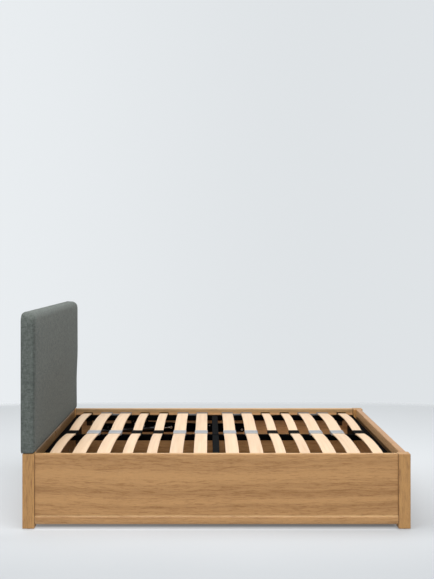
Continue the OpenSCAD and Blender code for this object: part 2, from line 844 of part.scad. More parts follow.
// Double cap on the middle tube, with a foot and two wings that hold a half slat each
module centre_cap(x, w) {
    l = w + 2 * cap_wall;
    top_h = cap_top - tube_top;
    difference() {
        translate([x - l / 2, 0, 0]) rotate([90, 0, 90]) linear_extrude(l) {
            translate([-tube / 2, tube_top]) square([tube, cap_foot + 1]);
            translate([-centre_cap_l, tube_top + cap_foot]) round_rect(2 * centre_cap_l, top_h - cap_foot, cap_edge_r);
        }
        both_sides() translate([x - w / 2 - seat_clear, 0, 0]) rotate([90, 0, 90])
            linear_extrude(w + 2 * seat_clear) slat_band(seat_clear);
    }
}

module narrow_centre_caps() {
    color(black_plastic) for (k = narrow_rows) for (side = [-1, 1]) centre_cap(plat_mid + side * row_x(k), narrow_w);
}

module wide_centre_caps() {
    color(grey_plastic) for (k = wide_rows) for (side = [-1, 1]) centre_cap(plat_mid + side * row_x(k), wide_w);
}

headboard_pad();
headboard_board();
headboard_back_cover();
headboard_legs();
headboard_bolts();
head_post_left();
head_post_right();
foot_post_left();
foot_post_right();
head_panel();
side_panel_left();
side_panel_right();
side_plinth_left();
side_plinth_right();
foot_panel();
foot_plinth();
side_ledges();
end_ledges();
floor_boards();
floor_beam();
beam_feet();
post_glides();
corner_brackets();
corner_bolts();
rest_brackets();
rest_buffers();
base_rail_left();
base_rail_right();
base_rail_bolts();
base_pivot_pins();
strut_base_studs();
rear_arm_left();
rear_arm_right();
front_arm_left();
front_arm_right();
strut_cylinder_left();
strut_cylinder_right();
strut_rod_left();
strut_rod_right();
side_tube_left();
side_tube_right();
head_tube();
foot_tube();
centre_tube();
cross_bars();
tube_plugs();
lift_bracket_left();
lift_bracket_right();
platform_pivot_pins();
lift_bracket_bolts();
narrow_slats();
wide_slats();
narrow_end_caps();
wide_end_caps();
narrow_centre_caps();
wide_centre_caps();
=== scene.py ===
"""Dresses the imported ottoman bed: oak frame, tweed headboard, sprung slats and the lift under them.

Each sub-assembly is a class that holds its sizes and makes its own pieces. Each finish is a small
frozen class that builds one node-based material. main() makes them in order. Lengths are metres in
the CAD's frame: +X to the foot end, +Y to the left of someone lying in the bed, +Z up.
"""
import logging
import math
import random
from collections.abc import Callable, Iterable, Sequence
from dataclasses import dataclass
from enum import Enum
from typing import Protocol

import bmesh
import bpy
from bmesh.types import BMEdge, BMFace, BMVert
from bpy.types import ID, Material, Mesh, Node, NodeSocket, Object
from mathutils import Matrix, Vector
from mathutils.kdtree import KDTree


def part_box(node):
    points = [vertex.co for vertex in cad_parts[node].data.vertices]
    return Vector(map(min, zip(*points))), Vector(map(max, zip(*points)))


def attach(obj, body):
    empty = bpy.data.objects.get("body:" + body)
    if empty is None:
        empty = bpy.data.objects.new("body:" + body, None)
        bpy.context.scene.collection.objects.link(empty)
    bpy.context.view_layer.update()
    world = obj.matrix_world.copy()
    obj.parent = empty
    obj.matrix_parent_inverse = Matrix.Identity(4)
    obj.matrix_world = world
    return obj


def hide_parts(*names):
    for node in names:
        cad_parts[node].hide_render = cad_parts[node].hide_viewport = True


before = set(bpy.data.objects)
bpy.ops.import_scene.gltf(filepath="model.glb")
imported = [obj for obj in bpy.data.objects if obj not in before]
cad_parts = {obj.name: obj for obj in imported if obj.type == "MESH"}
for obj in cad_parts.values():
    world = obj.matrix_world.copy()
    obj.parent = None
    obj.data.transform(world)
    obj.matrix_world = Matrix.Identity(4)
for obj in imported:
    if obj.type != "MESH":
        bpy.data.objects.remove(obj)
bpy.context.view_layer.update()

LOG = logging.getLogger("bed")
Colour = tuple[float, float, float]
Point = Sequence[float]
SCREW_R, SCREW_FLAT, SCREW_H = 0.008, 0.007, 0.004


def operator(operation: str, reflected: bool = False) -> "Callable[..., Val]":
    """Makes a method of a value that adds one Math node.

    Args:
        operation: Name of the node's operation.
        reflected: Whether the value comes last, as in 1 - value.

    Returns:
        The method.
    """
    def method(value: "Val", *others: "float | Val") -> "Val":
        """Adds the node on the value and the others."""
        return value.shader.math(operation, *((*others, value) if reflected else (value, *others)))

    return method


class Val:
    """A value in a shader tree. Python's operators on it add Math nodes."""

    def __init__(self, shader: "Shader", socket: NodeSocket) -> None:
        """Keeps the socket and the shader that it belongs to."""
        self.shader = shader
        self.socket = socket

    __add__ = __radd__ = operator("ADD")
    __sub__ = operator("SUBTRACT")
    __rsub__ = operator("SUBTRACT", True)
    __mul__ = __rmul__ = operator("MULTIPLY")
    __truediv__ = operator("DIVIDE")
    __rtruediv__ = operator("DIVIDE", True)
    __pow__ = operator("POWER")
    __rpow__ = operator("POWER", True)
    __mod__ = operator("FLOORED_MODULO")
    __rmod__ = operator("FLOORED_MODULO", True)
    __abs__ = operator("ABSOLUTE")
    floor = operator("FLOOR")
    fract = operator("FRACT")
    or_larger = operator("MAXIMUM")

    def band(self, none: float, full: float) -> "Val":
        """Runs softly from 0, where this value is none, to 1, where it is full; either may be the larger."""
        return self.shader.value("ShaderNodeMapRange", {"interpolation_type": "SMOOTHSTEP"},
                                 {0: self, 1: none, 2: full, 3: 0.0, 4: 1.0})


class Shader:
    """The node tree of one material, or of the world."""

    def __init__(self, name: str, world: bool = False) -> None:
        """Starts an empty tree.

        Args:
            name: Name of the material or world.
            world: Whether it is the world.
        """
        self.owner = (bpy.data.worlds if world else bpy.data.materials).new(name)
        self.owner.use_nodes = True
        self.tree = self.owner.node_tree
        self.tree.nodes.clear()

    def node(self, kind: str, settings: dict[str, object] | None = None,
             sockets: dict[int | str, object] | None = None) -> Node:
        """Adds one node.

        Args:
            kind: The node's type.
            settings: Properties that are set first.
            sockets: Value or link of each input, by name or number.

        Returns:
            The node.
        """
        made = self.tree.nodes.new(kind)
        for name, value in (settings or {}).items():
            setattr(made, name, value)
        for key, value in (sockets or {}).items():
            into = made.inputs[key]
            source = value.socket if isinstance(value, Val) else value
            if isinstance(source, NodeSocket):
                self.tree.links.new(source, into)
            elif isinstance(source, tuple) and into.type == "RGBA":
                into.default_value = (*source, 1.0)
            else:
                into.default_value = source
        return made

    def value(self, kind: str, *given: dict | None, out: int | str = 0) -> Val:
        """Adds one node, as node() does, and gives one of its outputs."""
        return Val(self, self.node(kind, *given).outputs[out])

    def math(self, operation: str, *values: float | Val) -> Val:
        """Adds a Math node on those values."""
        return self.value("ShaderNodeMath", {"operation": operation}, dict(enumerate(values)))

    def coords(self) -> Val:
        """Object coordinates, which are the CAD's own metres."""
        return self.value("ShaderNodeTexCoord", out="Object")

    def split(self, vector: Val) -> tuple[Val, Val, Val]:
        """The three parts of a vector."""
        made = self.node("ShaderNodeSeparateXYZ", None, {0: vector})
        return tuple(Val(self, out) for out in made.outputs)

    def join(self, x: float | Val, y: float | Val, z: float | Val) -> Val:
        """A vector of three parts."""
        return self.value("ShaderNodeCombineXYZ", None, {0: x, 1: y, 2: z})

    def noise(self, vector: Val, scale: float, detail: float = 2.0, roughness: float = 0.5) -> Val:
        """Soft noise round 0.5, with a number of finer layers that each keep a share of the last."""
        return self.value("ShaderNodeTexNoise", None,
                          {"Vector": vector, "Scale": scale, "Detail": detail, "Roughness": roughness})

    def stretched(self, place: Sequence[Val], scales: Point, detail: float = 2.0,
                  roughness: float = 0.5) -> Val:
        """Soft noise with its own scale along each of three coordinates."""
        vector = self.join(*(part * scale for part, scale in zip(place, scales)))
        return self.noise(vector, 1.0, detail, roughness)

    def cells(self, vector: Val) -> Val:
        """One random value for each whole step of the vector."""
        return self.value("ShaderNodeTexWhiteNoise", None, {"Vector": vector})

    def attribute(self, name: str) -> Val:
        """A value that the piece's own mesh holds."""
        return self.value("ShaderNodeAttribute", {"attribute_name": name}, out="Fac")

    def mix(self, factor: float | Val, a: Colour | Val, b: Colour | Val) -> Val:
        """Colour between a, at factor 0, and b, at 1."""
        return self.value("ShaderNodeMix", {"data_type": "RGBA"}, {0: factor, 6: a, 7: b}, out=2)

    def shade(self, colour: Val, factor: float | Val) -> Val:
        """The colour, made lighter or darker by a factor."""
        return self.value("ShaderNodeVectorMath", {"operation": "SCALE"}, {0: colour, "Scale": factor})

    def tinted(self, colour: Val, tone: Colour) -> Val:
        """The colour, times another one."""
        return self.value("ShaderNodeVectorMath", {"operation": "MULTIPLY"}, {0: colour, 1: tone})

    def bump(self, height: Val, distance: float, strength: float = 1.0) -> Val:
        """A normal from a height, which is a share of a distance in metres."""
        return self.value("ShaderNodeBump", None,
                          {"Strength": strength, "Distance": distance, "Height": height})

    def surface(self, **sockets: object) -> Material:
        """Closes the tree with a Principled shader.

        Args:
            sockets: The shader's inputs, with underscores for the spaces in their names.

        Returns:
            The finished material.
        """
        named = {key.replace("_", " "): value for key, value in sockets.items()}
        made = self.node("ShaderNodeBsdfPrincipled", None, named)
        self.node("ShaderNodeOutputMaterial", None, {"Surface": made.outputs[0]})
        return self.owner


class Grain(Enum):
    """The way that a board's grain runs."""

    ALONG_BED = "along the bed"
    ACROSS_BED = "across the bed"
    UPRIGHT = "upright"

    def turn(self, x: Val, y: Val, z: Val) -> tuple[Val, Val, Val]:
        """The coordinates along the grain, across it and into the board."""
        return {Grain.ALONG_BED: (x, z, y), Grain.ACROSS_BED: (y, z, x), Grain.UPRIGHT: (z, x, y)}[self]


class Finish(Protocol):
    """What every finish can do."""

    name: str

    def material(self) -> Material:
        """Builds the material."""


@dataclass(frozen=True)
class PaintedLight:
    """Painted light or shade on a board, where one coordinate's size passes from start to end, between two
    heights.
    """

    axis: int
    start: float
    end: float
    tone: Colour
    up_to: float = 9.0
    down_to: float = -9.0
    fade: float = 0.014
    edge: float = 0.004
    left_only: bool = False

    def mask(self, place: tuple[Val, Val, Val]) -> Val:
        """Finds how far the painted light or shade reaches.

        Args:
            place: The three coordinates.

        Returns:
            1 inside the painted light or shade and 0 outside it, with soft borders.
        """
        _, y, z = place
        inside = abs(place[self.axis]).band(self.start, self.end)
        inside = inside * z.band(self.up_to + self.edge, self.up_to - self.edge)
        inside = inside * z.band(self.down_to - self.fade, self.down_to + self.edge)
        return inside * y.band(0.0, 0.1) if self.left_only else inside


@dataclass(frozen=True)
class Oak:
    """Satin-lacquered oak with long arches of growth rings, streaks and fine pores."""

    name: str
    grain: Grain
    tone: Colour = (0.492, 0.264, 0.098)
    streak: Colour = (0.282, 0.130, 0.037)
    heart: float = 0.22
    broad: float = 2.3
    # A height above 0 paints a highlight line along the plinth's top edge, in the tone below.
    painted_highlight_z: float = -1.0
    painted_highlight_tone: Colour = (1.25, 1.45, 1.70)
    # Strength of the headboard's shadow, painted on the far side panel's inner face.
    painted_head_shadow: float = 0.0
    seams: tuple[float, ...] = ()
    # Patches of painted light and shade.
    painted_light_tints: tuple[PaintedLight, ...] = ()

    def material(self) -> Material:
        """Builds streaks and flames from stretched noise, with painted light and shade, joints and a painted
        highlight along the plinth edge.

        Returns:
            The material.
        """
        s = Shader(self.name)
        x, y, z = place = s.split(s.coords())
        along, across, depth = board = self.grain.turn(*place)
        wander = s.stretched(board, (1.1, 1.6, 1.5), 1.0)
        fibre = s.stretched(board, (7.0, 30.0, 30.0), 3.0)
        bent = along, across - self.heart + (wander - 0.5) * 0.07 + (fibre - 0.5) * 0.022, depth
        broad = s.stretched(bent, (0.25, 20.0, 20.0))
        flame = s.stretched(bent, (4.8, 78.0, 78.0), 4.0, 0.65)
        line = s.stretched(bent, (15.0, 165.0, 165.0), 3.0, 0.7)
        hair = s.stretched(board, (16.0, 480.0, 480.0))
        pores = s.stretched(board, (42.0, 1300.0, 1300.0), 1.0).band(0.58, 0.7)
        late = flame.band(0.46, 0.7) * 0.34 + line.band(0.46, 0.66) * 0.6 + (broad - 0.465) * self.broad
        colour = s.mix(late, self.tone, self.streak)
        # Each patch of painted light or shade lightens or darkens the wood's colour.
        masks = [(tint.mask(place), tint.tone) for tint in self.painted_light_tints]
        # A highlight painted along the plinth's top edge.
        if self.painted_highlight_z > 0.0:
            masks.append((abs(z - self.painted_highlight_z).band(0.0048, 0.0022), self.painted_highlight_tone))
        for inside, tone in masks:
            colour = s.mix(inside, colour, s.tinted(colour, tone))
        light = 1.0 + (hair - 0.5) * 0.26 - pores * 0.2 + (line - 0.5) * 0.3
        # The headboard's shadow, painted on the far side panel's inner face, stronger higher up.
        if self.painted_head_shadow:
            upper = 0.35 + 0.65 * z.band(0.2, 0.3)
            light = light * (1.0 - self.painted_head_shadow * upper * y.band(0.7, 0.74) * x.band(0.1, -1.1))
        for seam in self.seams:
            light = light * (0.25 + 0.75 * abs(x - seam).band(0.001, 0.0042))
        return s.surface(
            Base_Color=s.shade(colour, light), Roughness=0.4 + (hair - 0.5) * 0.2 + pores * 0.2,
            Normal=s.bump(hair * 0.4 - pores * 0.8, 0.00025))


@dataclass(frozen=True)
class BeechPly:
    """Bent beech plywood: pale fibre along the slat, small flecks, and glue lines on its edges."""

    name: str
    tone: Colour = (0.778, 0.562, 0.372)
    streak: Colour = (0.62, 0.40, 0.225)
    layers: int = 7

    def material(self) -> Material:
        """Builds the veneer; the slat's mesh holds its tone and its depth through the layers.

        Returns:
            The material.
        """
        s = Shader(self.name)
        x, y, z = place = s.split(s.coords())
        tone, layer = s.attribute("tone"), s.attribute("layer")
        figure = s.noise(s.join(x * 55.0 + tone * 40.0, y * 2.2, z * 20.0), 1.0, 3.0)
        fibre = s.stretched(place, (620.0, 14.0, 620.0))
        flecks = s.stretched(place, (900.0, 150.0, 900.0), 1.0).band(0.62, 0.72)
        inside = layer.band(0.04, 0.08) * (1.0 - layer.band(0.92, 0.96))
        glue = inside * (1.0 - abs((layer * self.layers + 0.5).fract() - 0.5).band(0.03, 0.14))
        cross = inside * ((layer * self.layers).floor() % 2.0)
        colour = s.mix((figure - 0.38) * 1.7 + cross * 0.35, self.tone, self.streak)
        light = 0.93 + tone * 0.1 + (fibre - 0.5) * 0.2 - flecks * 0.14 - glue * 0.4
        return s.surface(Base_Color=s.shade(colour, light), Roughness=0.46 + (fibre - 0.5) * 0.2,
                         Normal=s.bump(fibre * 0.5 - glue, 0.0002))


@dataclass(frozen=True)
class Pine:
    """Planed softwood with yellow rings and a few small knots."""

    name: str
    grain: Grain
    tone: Colour = (0.66, 0.47, 0.26)
    ring: Colour = (0.50, 0.29, 0.12)
    knot: Colour = (0.38, 0.20, 0.085)

    def material(self) -> Material:
        """Builds rings from stretched noise, and knots from sparse round spots.

        Returns:
            The material.
        """
        s = Shader(self.name)
        _, across, depth = board = self.grain.turn(*s.split(s.coords()))
        wander = s.stretched(board, (1.4, 4.0, 4.0))
        ring = (across * 130.0 + depth * 45.0 + wander * 9.0).fract()
        late = ring.band(0.3, 0.9) * (1.0 - ring.band(0.92, 1.0))
        spot = s.stretched(board, (7.0, 16.0, 16.0), 0.0).band(0.79, 0.86)
        fibre = s.stretched(board, (22.0, 620.0, 620.0))
        colour = s.mix(spot, s.mix(late * 0.7, self.tone, self.ring), self.knot)
        return s.surface(Base_Color=s.shade(colour, 0.92 + fibre * 0.16), Roughness=0.56 + fibre * 0.12,
                         Normal=s.bump(fibre - late * 0.5, 0.0003))


@dataclass(frozen=True)
class PressedBoard:
    """Pressed fibreboard: mottled brown with loose fibres."""

    name: str
    tone: Colour = (0.318, 0.195, 0.104)
    dark: Colour = (0.200, 0.117, 0.060)

    def material(self) -> Material:
        """Builds the mottling from noise at three scales.

        Returns:
            The material.
        """
        s = Shader(self.name)
        place = s.coords()
        cloud = s.noise(place, 7.0, 3.0, 0.6)
        grit = s.noise(place, 420.0)
        fibre = s.stretched(s.split(place), (260.0, 40.0, 260.0))
        colour = s.mix(cloud.band(0.3, 0.75), self.tone, self.dark)
        return s.surface(Base_Color=s.shade(colour, 0.8 + grit * 0.25 + fibre * 0.15),
                         Roughness=0.62 + (grit - 0.5) * 0.2, Normal=s.bump(grit + fibre, 0.0002))


@dataclass(frozen=True)
class Tweed:
    """Grey-green upholstery tweed in a plain weave of flecked yarns, on a pad between two corners."""

    name: str
    low: Point
    high: Point
    pitch: float = 0.0023
    dark: Colour = (0.055, 0.0645, 0.058)
    pale: Colour = (0.168, 0.187, 0.172)

    def material(self) -> Material:
        """Builds crossing yarns on every side of the pad, with painted shade on its front, its turned edges
        and its back, and painted shade and light near its top.

        Returns:
            The material.
        """
        s = Shader(self.name)
        place = s.coords()
        x, y, z = s.split(place)
        across, down = (x + y) / self.pitch, z / self.pitch
        column, row = across.floor(), down.floor()
        over = (column + row) % 2.0
        upright = s.cells(s.join(column, (down / 9.0).floor(), 3.0))
        level = s.cells(s.join(row, (across / 9.0).floor(), 11.0))
        yarn = upright * over + level * (1.0 - over)
        cloud = s.noise(place, 75.0, 3.0, 0.65)
        slub = s.stretched((x, y, z), (260.0, 260.0, 60.0))
        colour = s.mix(yarn * 0.42 + (cloud - 0.5) * 1.5 + slub * 0.3 + 0.14, self.dark, self.pale)
        # Painted shade on the front, its turned edges and the back, painted shade along the very top, and
        # painted light on the upper part.
        front = x.band(self.high[0] - 0.012, self.high[0] - 0.003)
        edge = abs(y).band(self.high[1] - 0.022, self.high[1] - 0.010)
        back = 1.0 - x.band(self.low[0] + 0.003, self.low[0] + 0.009)
        painted_crown_shade = z.band(self.high[2] - 0.035, self.high[2] - 0.004)
        upper = z.band(self.high[2] - 0.13, self.high[2] - 0.03)
        light = 1.0 - front * 0.13 - front * edge * 0.12 - back * 0.12 - painted_crown_shade * 0.09 + upper * 0.1
        crown_a, crown_b = abs(across.fract() - 0.5), abs(down.fract() - 0.5)
        height = 1.0 - (crown_a * over + crown_b * (1.0 - over)) * 1.6 - (crown_a + crown_b) * 0.4
        return s.surface(Base_Color=s.shade(colour, light), Roughness=0.92 - yarn * 0.08,
                         Normal=s.bump(height + cloud * 0.6, 0.0006, 0.7), Specular_IOR_Level=0.2,
                         Sheen_Weight=0.06, Sheen_Roughness=0.5)


@dataclass(frozen=True)
class DustCloth:
    """Thin black spun cloth with bonded dots."""

    name: str
    tone: Colour = (0.018, 0.018, 0.019)
    dot: Colour = (0.034, 0.034, 0.036)
    pitch: float = 0.002

    def material(self) -> Material:
        """Builds the dots on a fine square net, over loose fibres.

        Returns:
            The material.
        """
        s = Shader(self.name)
        place = s.coords()
        _, y, z = s.split(place)
        a, b = (y / self.pitch).fract() - 0.5, (z / self.pitch).fract() - 0.5
        dots = 1.0 - (a * a + b * b).band(0.03, 0.08)
        fibre = s.noise(s.join(0.0, y * 300.0, z * 900.0), 1.0)
        slack = s.noise(place, 6.0)
        return s.surface(Base_Color=s.shade(s.mix(dots, self.tone, self.dot), 0.7 + fibre * 0.6),
                         Roughness=0.82 - dots * 0.15, Normal=s.bump(slack * 4.0 - dots * 0.3, 0.0008))


@dataclass(frozen=True)
class PowderCoat:
    """Powder coat on steel, with the fine orange peel that it cures to."""

    name: str
    tone: Colour = (0.0022, 0.0022, 0.0024)
    worn: Colour = (0.0055, 0.0055, 0.006)
    rough: float = 0.55
    peel: float = 0.00009
    shine: float = 0.0015

    def material(self) -> Material:
        """Builds the peel, and a few paler scuffs.

        Returns:
            The material.
        """
        s = Shader(self.name)
        place = s.coords()
        peel = s.noise(place, 900.0)
        cloud = s.noise(place, 14.0, 3.0)
        scuff = s.noise(place, 55.0, 4.0, 0.7).band(0.62, 0.8)
        return s.surface(Base_Color=s.mix(scuff * 0.5, self.tone, self.worn),
                         Roughness=self.rough + (cloud - 0.5) * 0.14 + scuff * 0.1,
                         Normal=s.bump(peel, self.peel), Specular_IOR_Level=self.shine)


@dataclass(frozen=True)
class Plated:
    """Bright plated steel, with the faint clouds of zinc or the polish of chrome."""

    name: str
    tone: Colour = (0.55, 0.56, 0.58)
    shadow: Colour = (0.40, 0.41, 0.43)
    rough: float = 0.3

    def material(self) -> Material:
        """Builds the clouds and fine turning marks.

        Returns:
            The material.
        """
        s = Shader(self.name)
        place = s.coords()
        cloud = s.noise(place, 160.0, 3.0)
        marks = s.noise(place, 1500.0, 1.0)
        return s.surface(Base_Color=s.mix(cloud.band(0.35, 0.7), self.tone, self.shadow), Metallic=1.0,
                         Roughness=self.rough + (cloud - 0.5) * 0.2, Normal=s.bump(marks, 0.00003))


@dataclass(frozen=True)
class Moulded:
    """Moulded plastic or rubber with a fine spark-eroded grain."""

    name: str
    tone: Colour = (0.003, 0.003, 0.003)
    flow: Colour = (0.005, 0.005, 0.005)
    rough: float = 0.5
    grain: float = 0.00012
    shine: float = 0.01

    def material(self) -> Material:
        """Builds the grain and faint flow lines.

        Returns:
            The material.
        """
        s = Shader(self.name)
        place = s.coords()
        grain = s.noise(place, 1300.0, 1.0)
        flow = s.noise(place, 45.0)
        return s.surface(Base_Color=s.mix(flow.band(0.3, 0.75), self.tone, self.flow),
                         Roughness=self.rough + (flow - 0.5) * 0.16 + (grain - 0.5) * 0.1,
                         Normal=s.bump(grain, self.grain), Specular_IOR_Level=self.shine)


@dataclass(frozen=True)
class StudioFloor:
    """Pale matt floor that fades out at its far edges, partly glowing, with painted light and shade round the
    bed.
    """

    name: str = "studio_floor"
    tone: Colour = (0.640, 0.668, 0.693)
    # Near is painted shade on the floor in front of the bed, and far is painted light behind it.
    near: Colour = (0.555, 0.580, 0.601)
    far: Colour = (0.722, 0.752, 0.775)
    # Share of the floor's colour that it gives off as light, which lightens its shadows.
    glow: float = 0.3
    reach: float = 3.5
    fade: float = 0.3

    def material(self) -> Material:
        """Mixes the floor with nothing at its edges, so that it meets the backdrop softly, and paints light
        and shade on it.

        Returns:
            The material.
        """
        s = Shader(self.name)
        place = s.coords()
        x, y, _ = s.split(place)
        depth = y + (s.noise(place, 0.8) - 0.5) * 0.3
        beyond = depth.band(-0.6, 1.2)
        # Painted shade near the camera and painted light far off.
        colour = s.mix(beyond, s.mix(depth.band(-1.7, -0.8), self.near, self.tone), self.far)
        # Painted light and shade across the floor, beside the bed and beyond it, that evens out its shading.
        across, beside_bed = x.band(-1.5, 1.5), depth.band(-1.0, -0.7)
        painted_tilt = 0.99 - 0.03 * across + beside_bed * (0.24 - 0.32 * across) + beyond * (0.34 * across - 0.22)
        colour = s.shade(colour, painted_tilt)
        # A painted shadow under the bed and a painted light strip beside its plinths; part of the colour
        # glows.
        beside = abs(x).band(0.98, 1.0)
        under = (1.0 - abs(y).band(0.735, 0.742)) * (1.0 - beside)
        painted_light_fringe = abs(y).band(0.738, 0.762) * (1.0 - abs(y).band(0.785, 0.83)) * (1.0 - beside)
        matt = s.node("ShaderNodeBsdfPrincipled", None,
                      {"Base Color": s.shade(colour, 1.0 - self.glow), "Roughness": 0.75,
                       "Specular IOR Level": 0.0, "Emission Strength": 1.0,
                       "Emission Color": s.shade(colour, self.glow * (1.0 - under * 0.42 + painted_light_fringe * 0.64))})
        clear = s.node("ShaderNodeBsdfTransparent")
        edge = ((abs(x) ** 4.0 + abs(y) ** 4.0) ** 0.25).band(self.reach, self.reach + self.fade)
        mixed = s.node("ShaderNodeMixShader", None, {0: edge, 1: matt.outputs[0], 2: clear.outputs[0]})
        s.node("ShaderNodeOutputMaterial", None, {"Surface": mixed.outputs[0]})
        return s.owner


OAK_POST = Oak("oak_posts", Grain.UPRIGHT, (0.485, 0.256, 0.084), (0.235, 0.108, 0.034), 0.3, 0.7)
PINE_LONG = Pine("pine_battens", Grain.ALONG_BED)
PINE_WIDE = Pine("pine_end_battens", Grain.ACROSS_BED)
PINE_LEG = Pine("pine_legs", Grain.UPRIGHT)
BOARD = PressedBoard("base_board")
DUST = DustCloth("headboard_dust_cloth")
STEEL = PowderCoat("black_powder_coat")
# A paler copy of the black coat, painted lit, for the cross bars whose tops catch the light.
STEEL_PAINTED_LIT = PowderCoat("black_powder_coat_painted_lit", (0.008, 0.0085, 0.009), (0.02, 0.021, 0.022))
BROWN_COAT = PowderCoat("bronze_powder_coat", (0.060, 0.038, 0.023), (0.09, 0.06, 0.04))
GLOSS = PowderCoat("strut_gloss_black", (0.005, 0.005, 0.0055), (0.012, 0.012, 0.013), 0.2, 0.00002, 0.4)
ZINC = Plated("zinc_plate")
BLACK_ZINC = Plated("black_zinc_plate", (0.03, 0.03, 0.032), (0.02, 0.02, 0.021), 0.4)
CHROME = Plated("strut_rod_chrome", (0.52, 0.53, 0.55), (0.44, 0.45, 0.47), 0.12)
BLACK_CAP = Moulded("black_cap_plastic")
PALE_CAP = Moulded("pale_cap_plastic", (0.29, 0.30, 0.315), (0.335, 0.345, 0.36), 0.36, 0.00005, 0.3)
SIDE_CAP = Moulded("side_cap_plastic", (0.135, 0.138, 0.142), (0.16, 0.163, 0.168), 0.4, 0.00005, 0.15)
BUFFER = Moulded("buffer_rubber", (0.01, 0.01, 0.01), (0.015, 0.015, 0.015), 0.8, 0.0002, 0.2)
SLAT = BeechPly("beech_slat_ply")


class Workshop:
    """Keeps each finish's material, and dresses CAD nodes with them."""

    materials: dict[str, Material] = {}

    @classmethod
    def material(cls, finish: Finish) -> Material:
        """Gives a finish's material, which is built once.

        Args:
            finish: The finish.

        Returns:
            Its material.
        """
        if finish.name not in cls.materials:
            cls.materials[finish.name] = finish.material()
        return cls.materials[finish.name]

    @classmethod
    def dress(cls, finish: Finish, *nodes: str) -> None:
        """Gives CAD nodes a finish.

        Args:
            finish: The finish.
            nodes: Names of the nodes.
        """
        for name in nodes:
            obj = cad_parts[name]
            if not obj.material_slots:
                obj.data.materials.append(None)
            for held in obj.material_slots:
                held.material = cls.material(finish)
            LOG.info("dressed %s in %s", name, finish.name)


def both(*stems: str) -> list[str]:
    """Names of the left and the right CAD node of each stem."""
    return [f"{stem}_{side}" for stem in stems for side in ("left", "right")]


def facing(centre: Point, direction: Point) -> Matrix:
    """Places what is drawn round Z at a centre, along a direction."""
    turn = Vector(direction).to_track_quat("Z", "Y").to_matrix().to_4x4()
    return Matrix.Translation(Vector(centre)) @ turn


def placed(name: str, data: ID) -> Object:
    """Puts a mesh, camera or lamp in the scene.

    Args:
        name: The object's name.
        data: What it holds.

    Returns:
        The object.
    """
    obj = bpy.data.objects.new(name, data)
    bpy.context.scene.collection.objects.link(obj)
    return obj


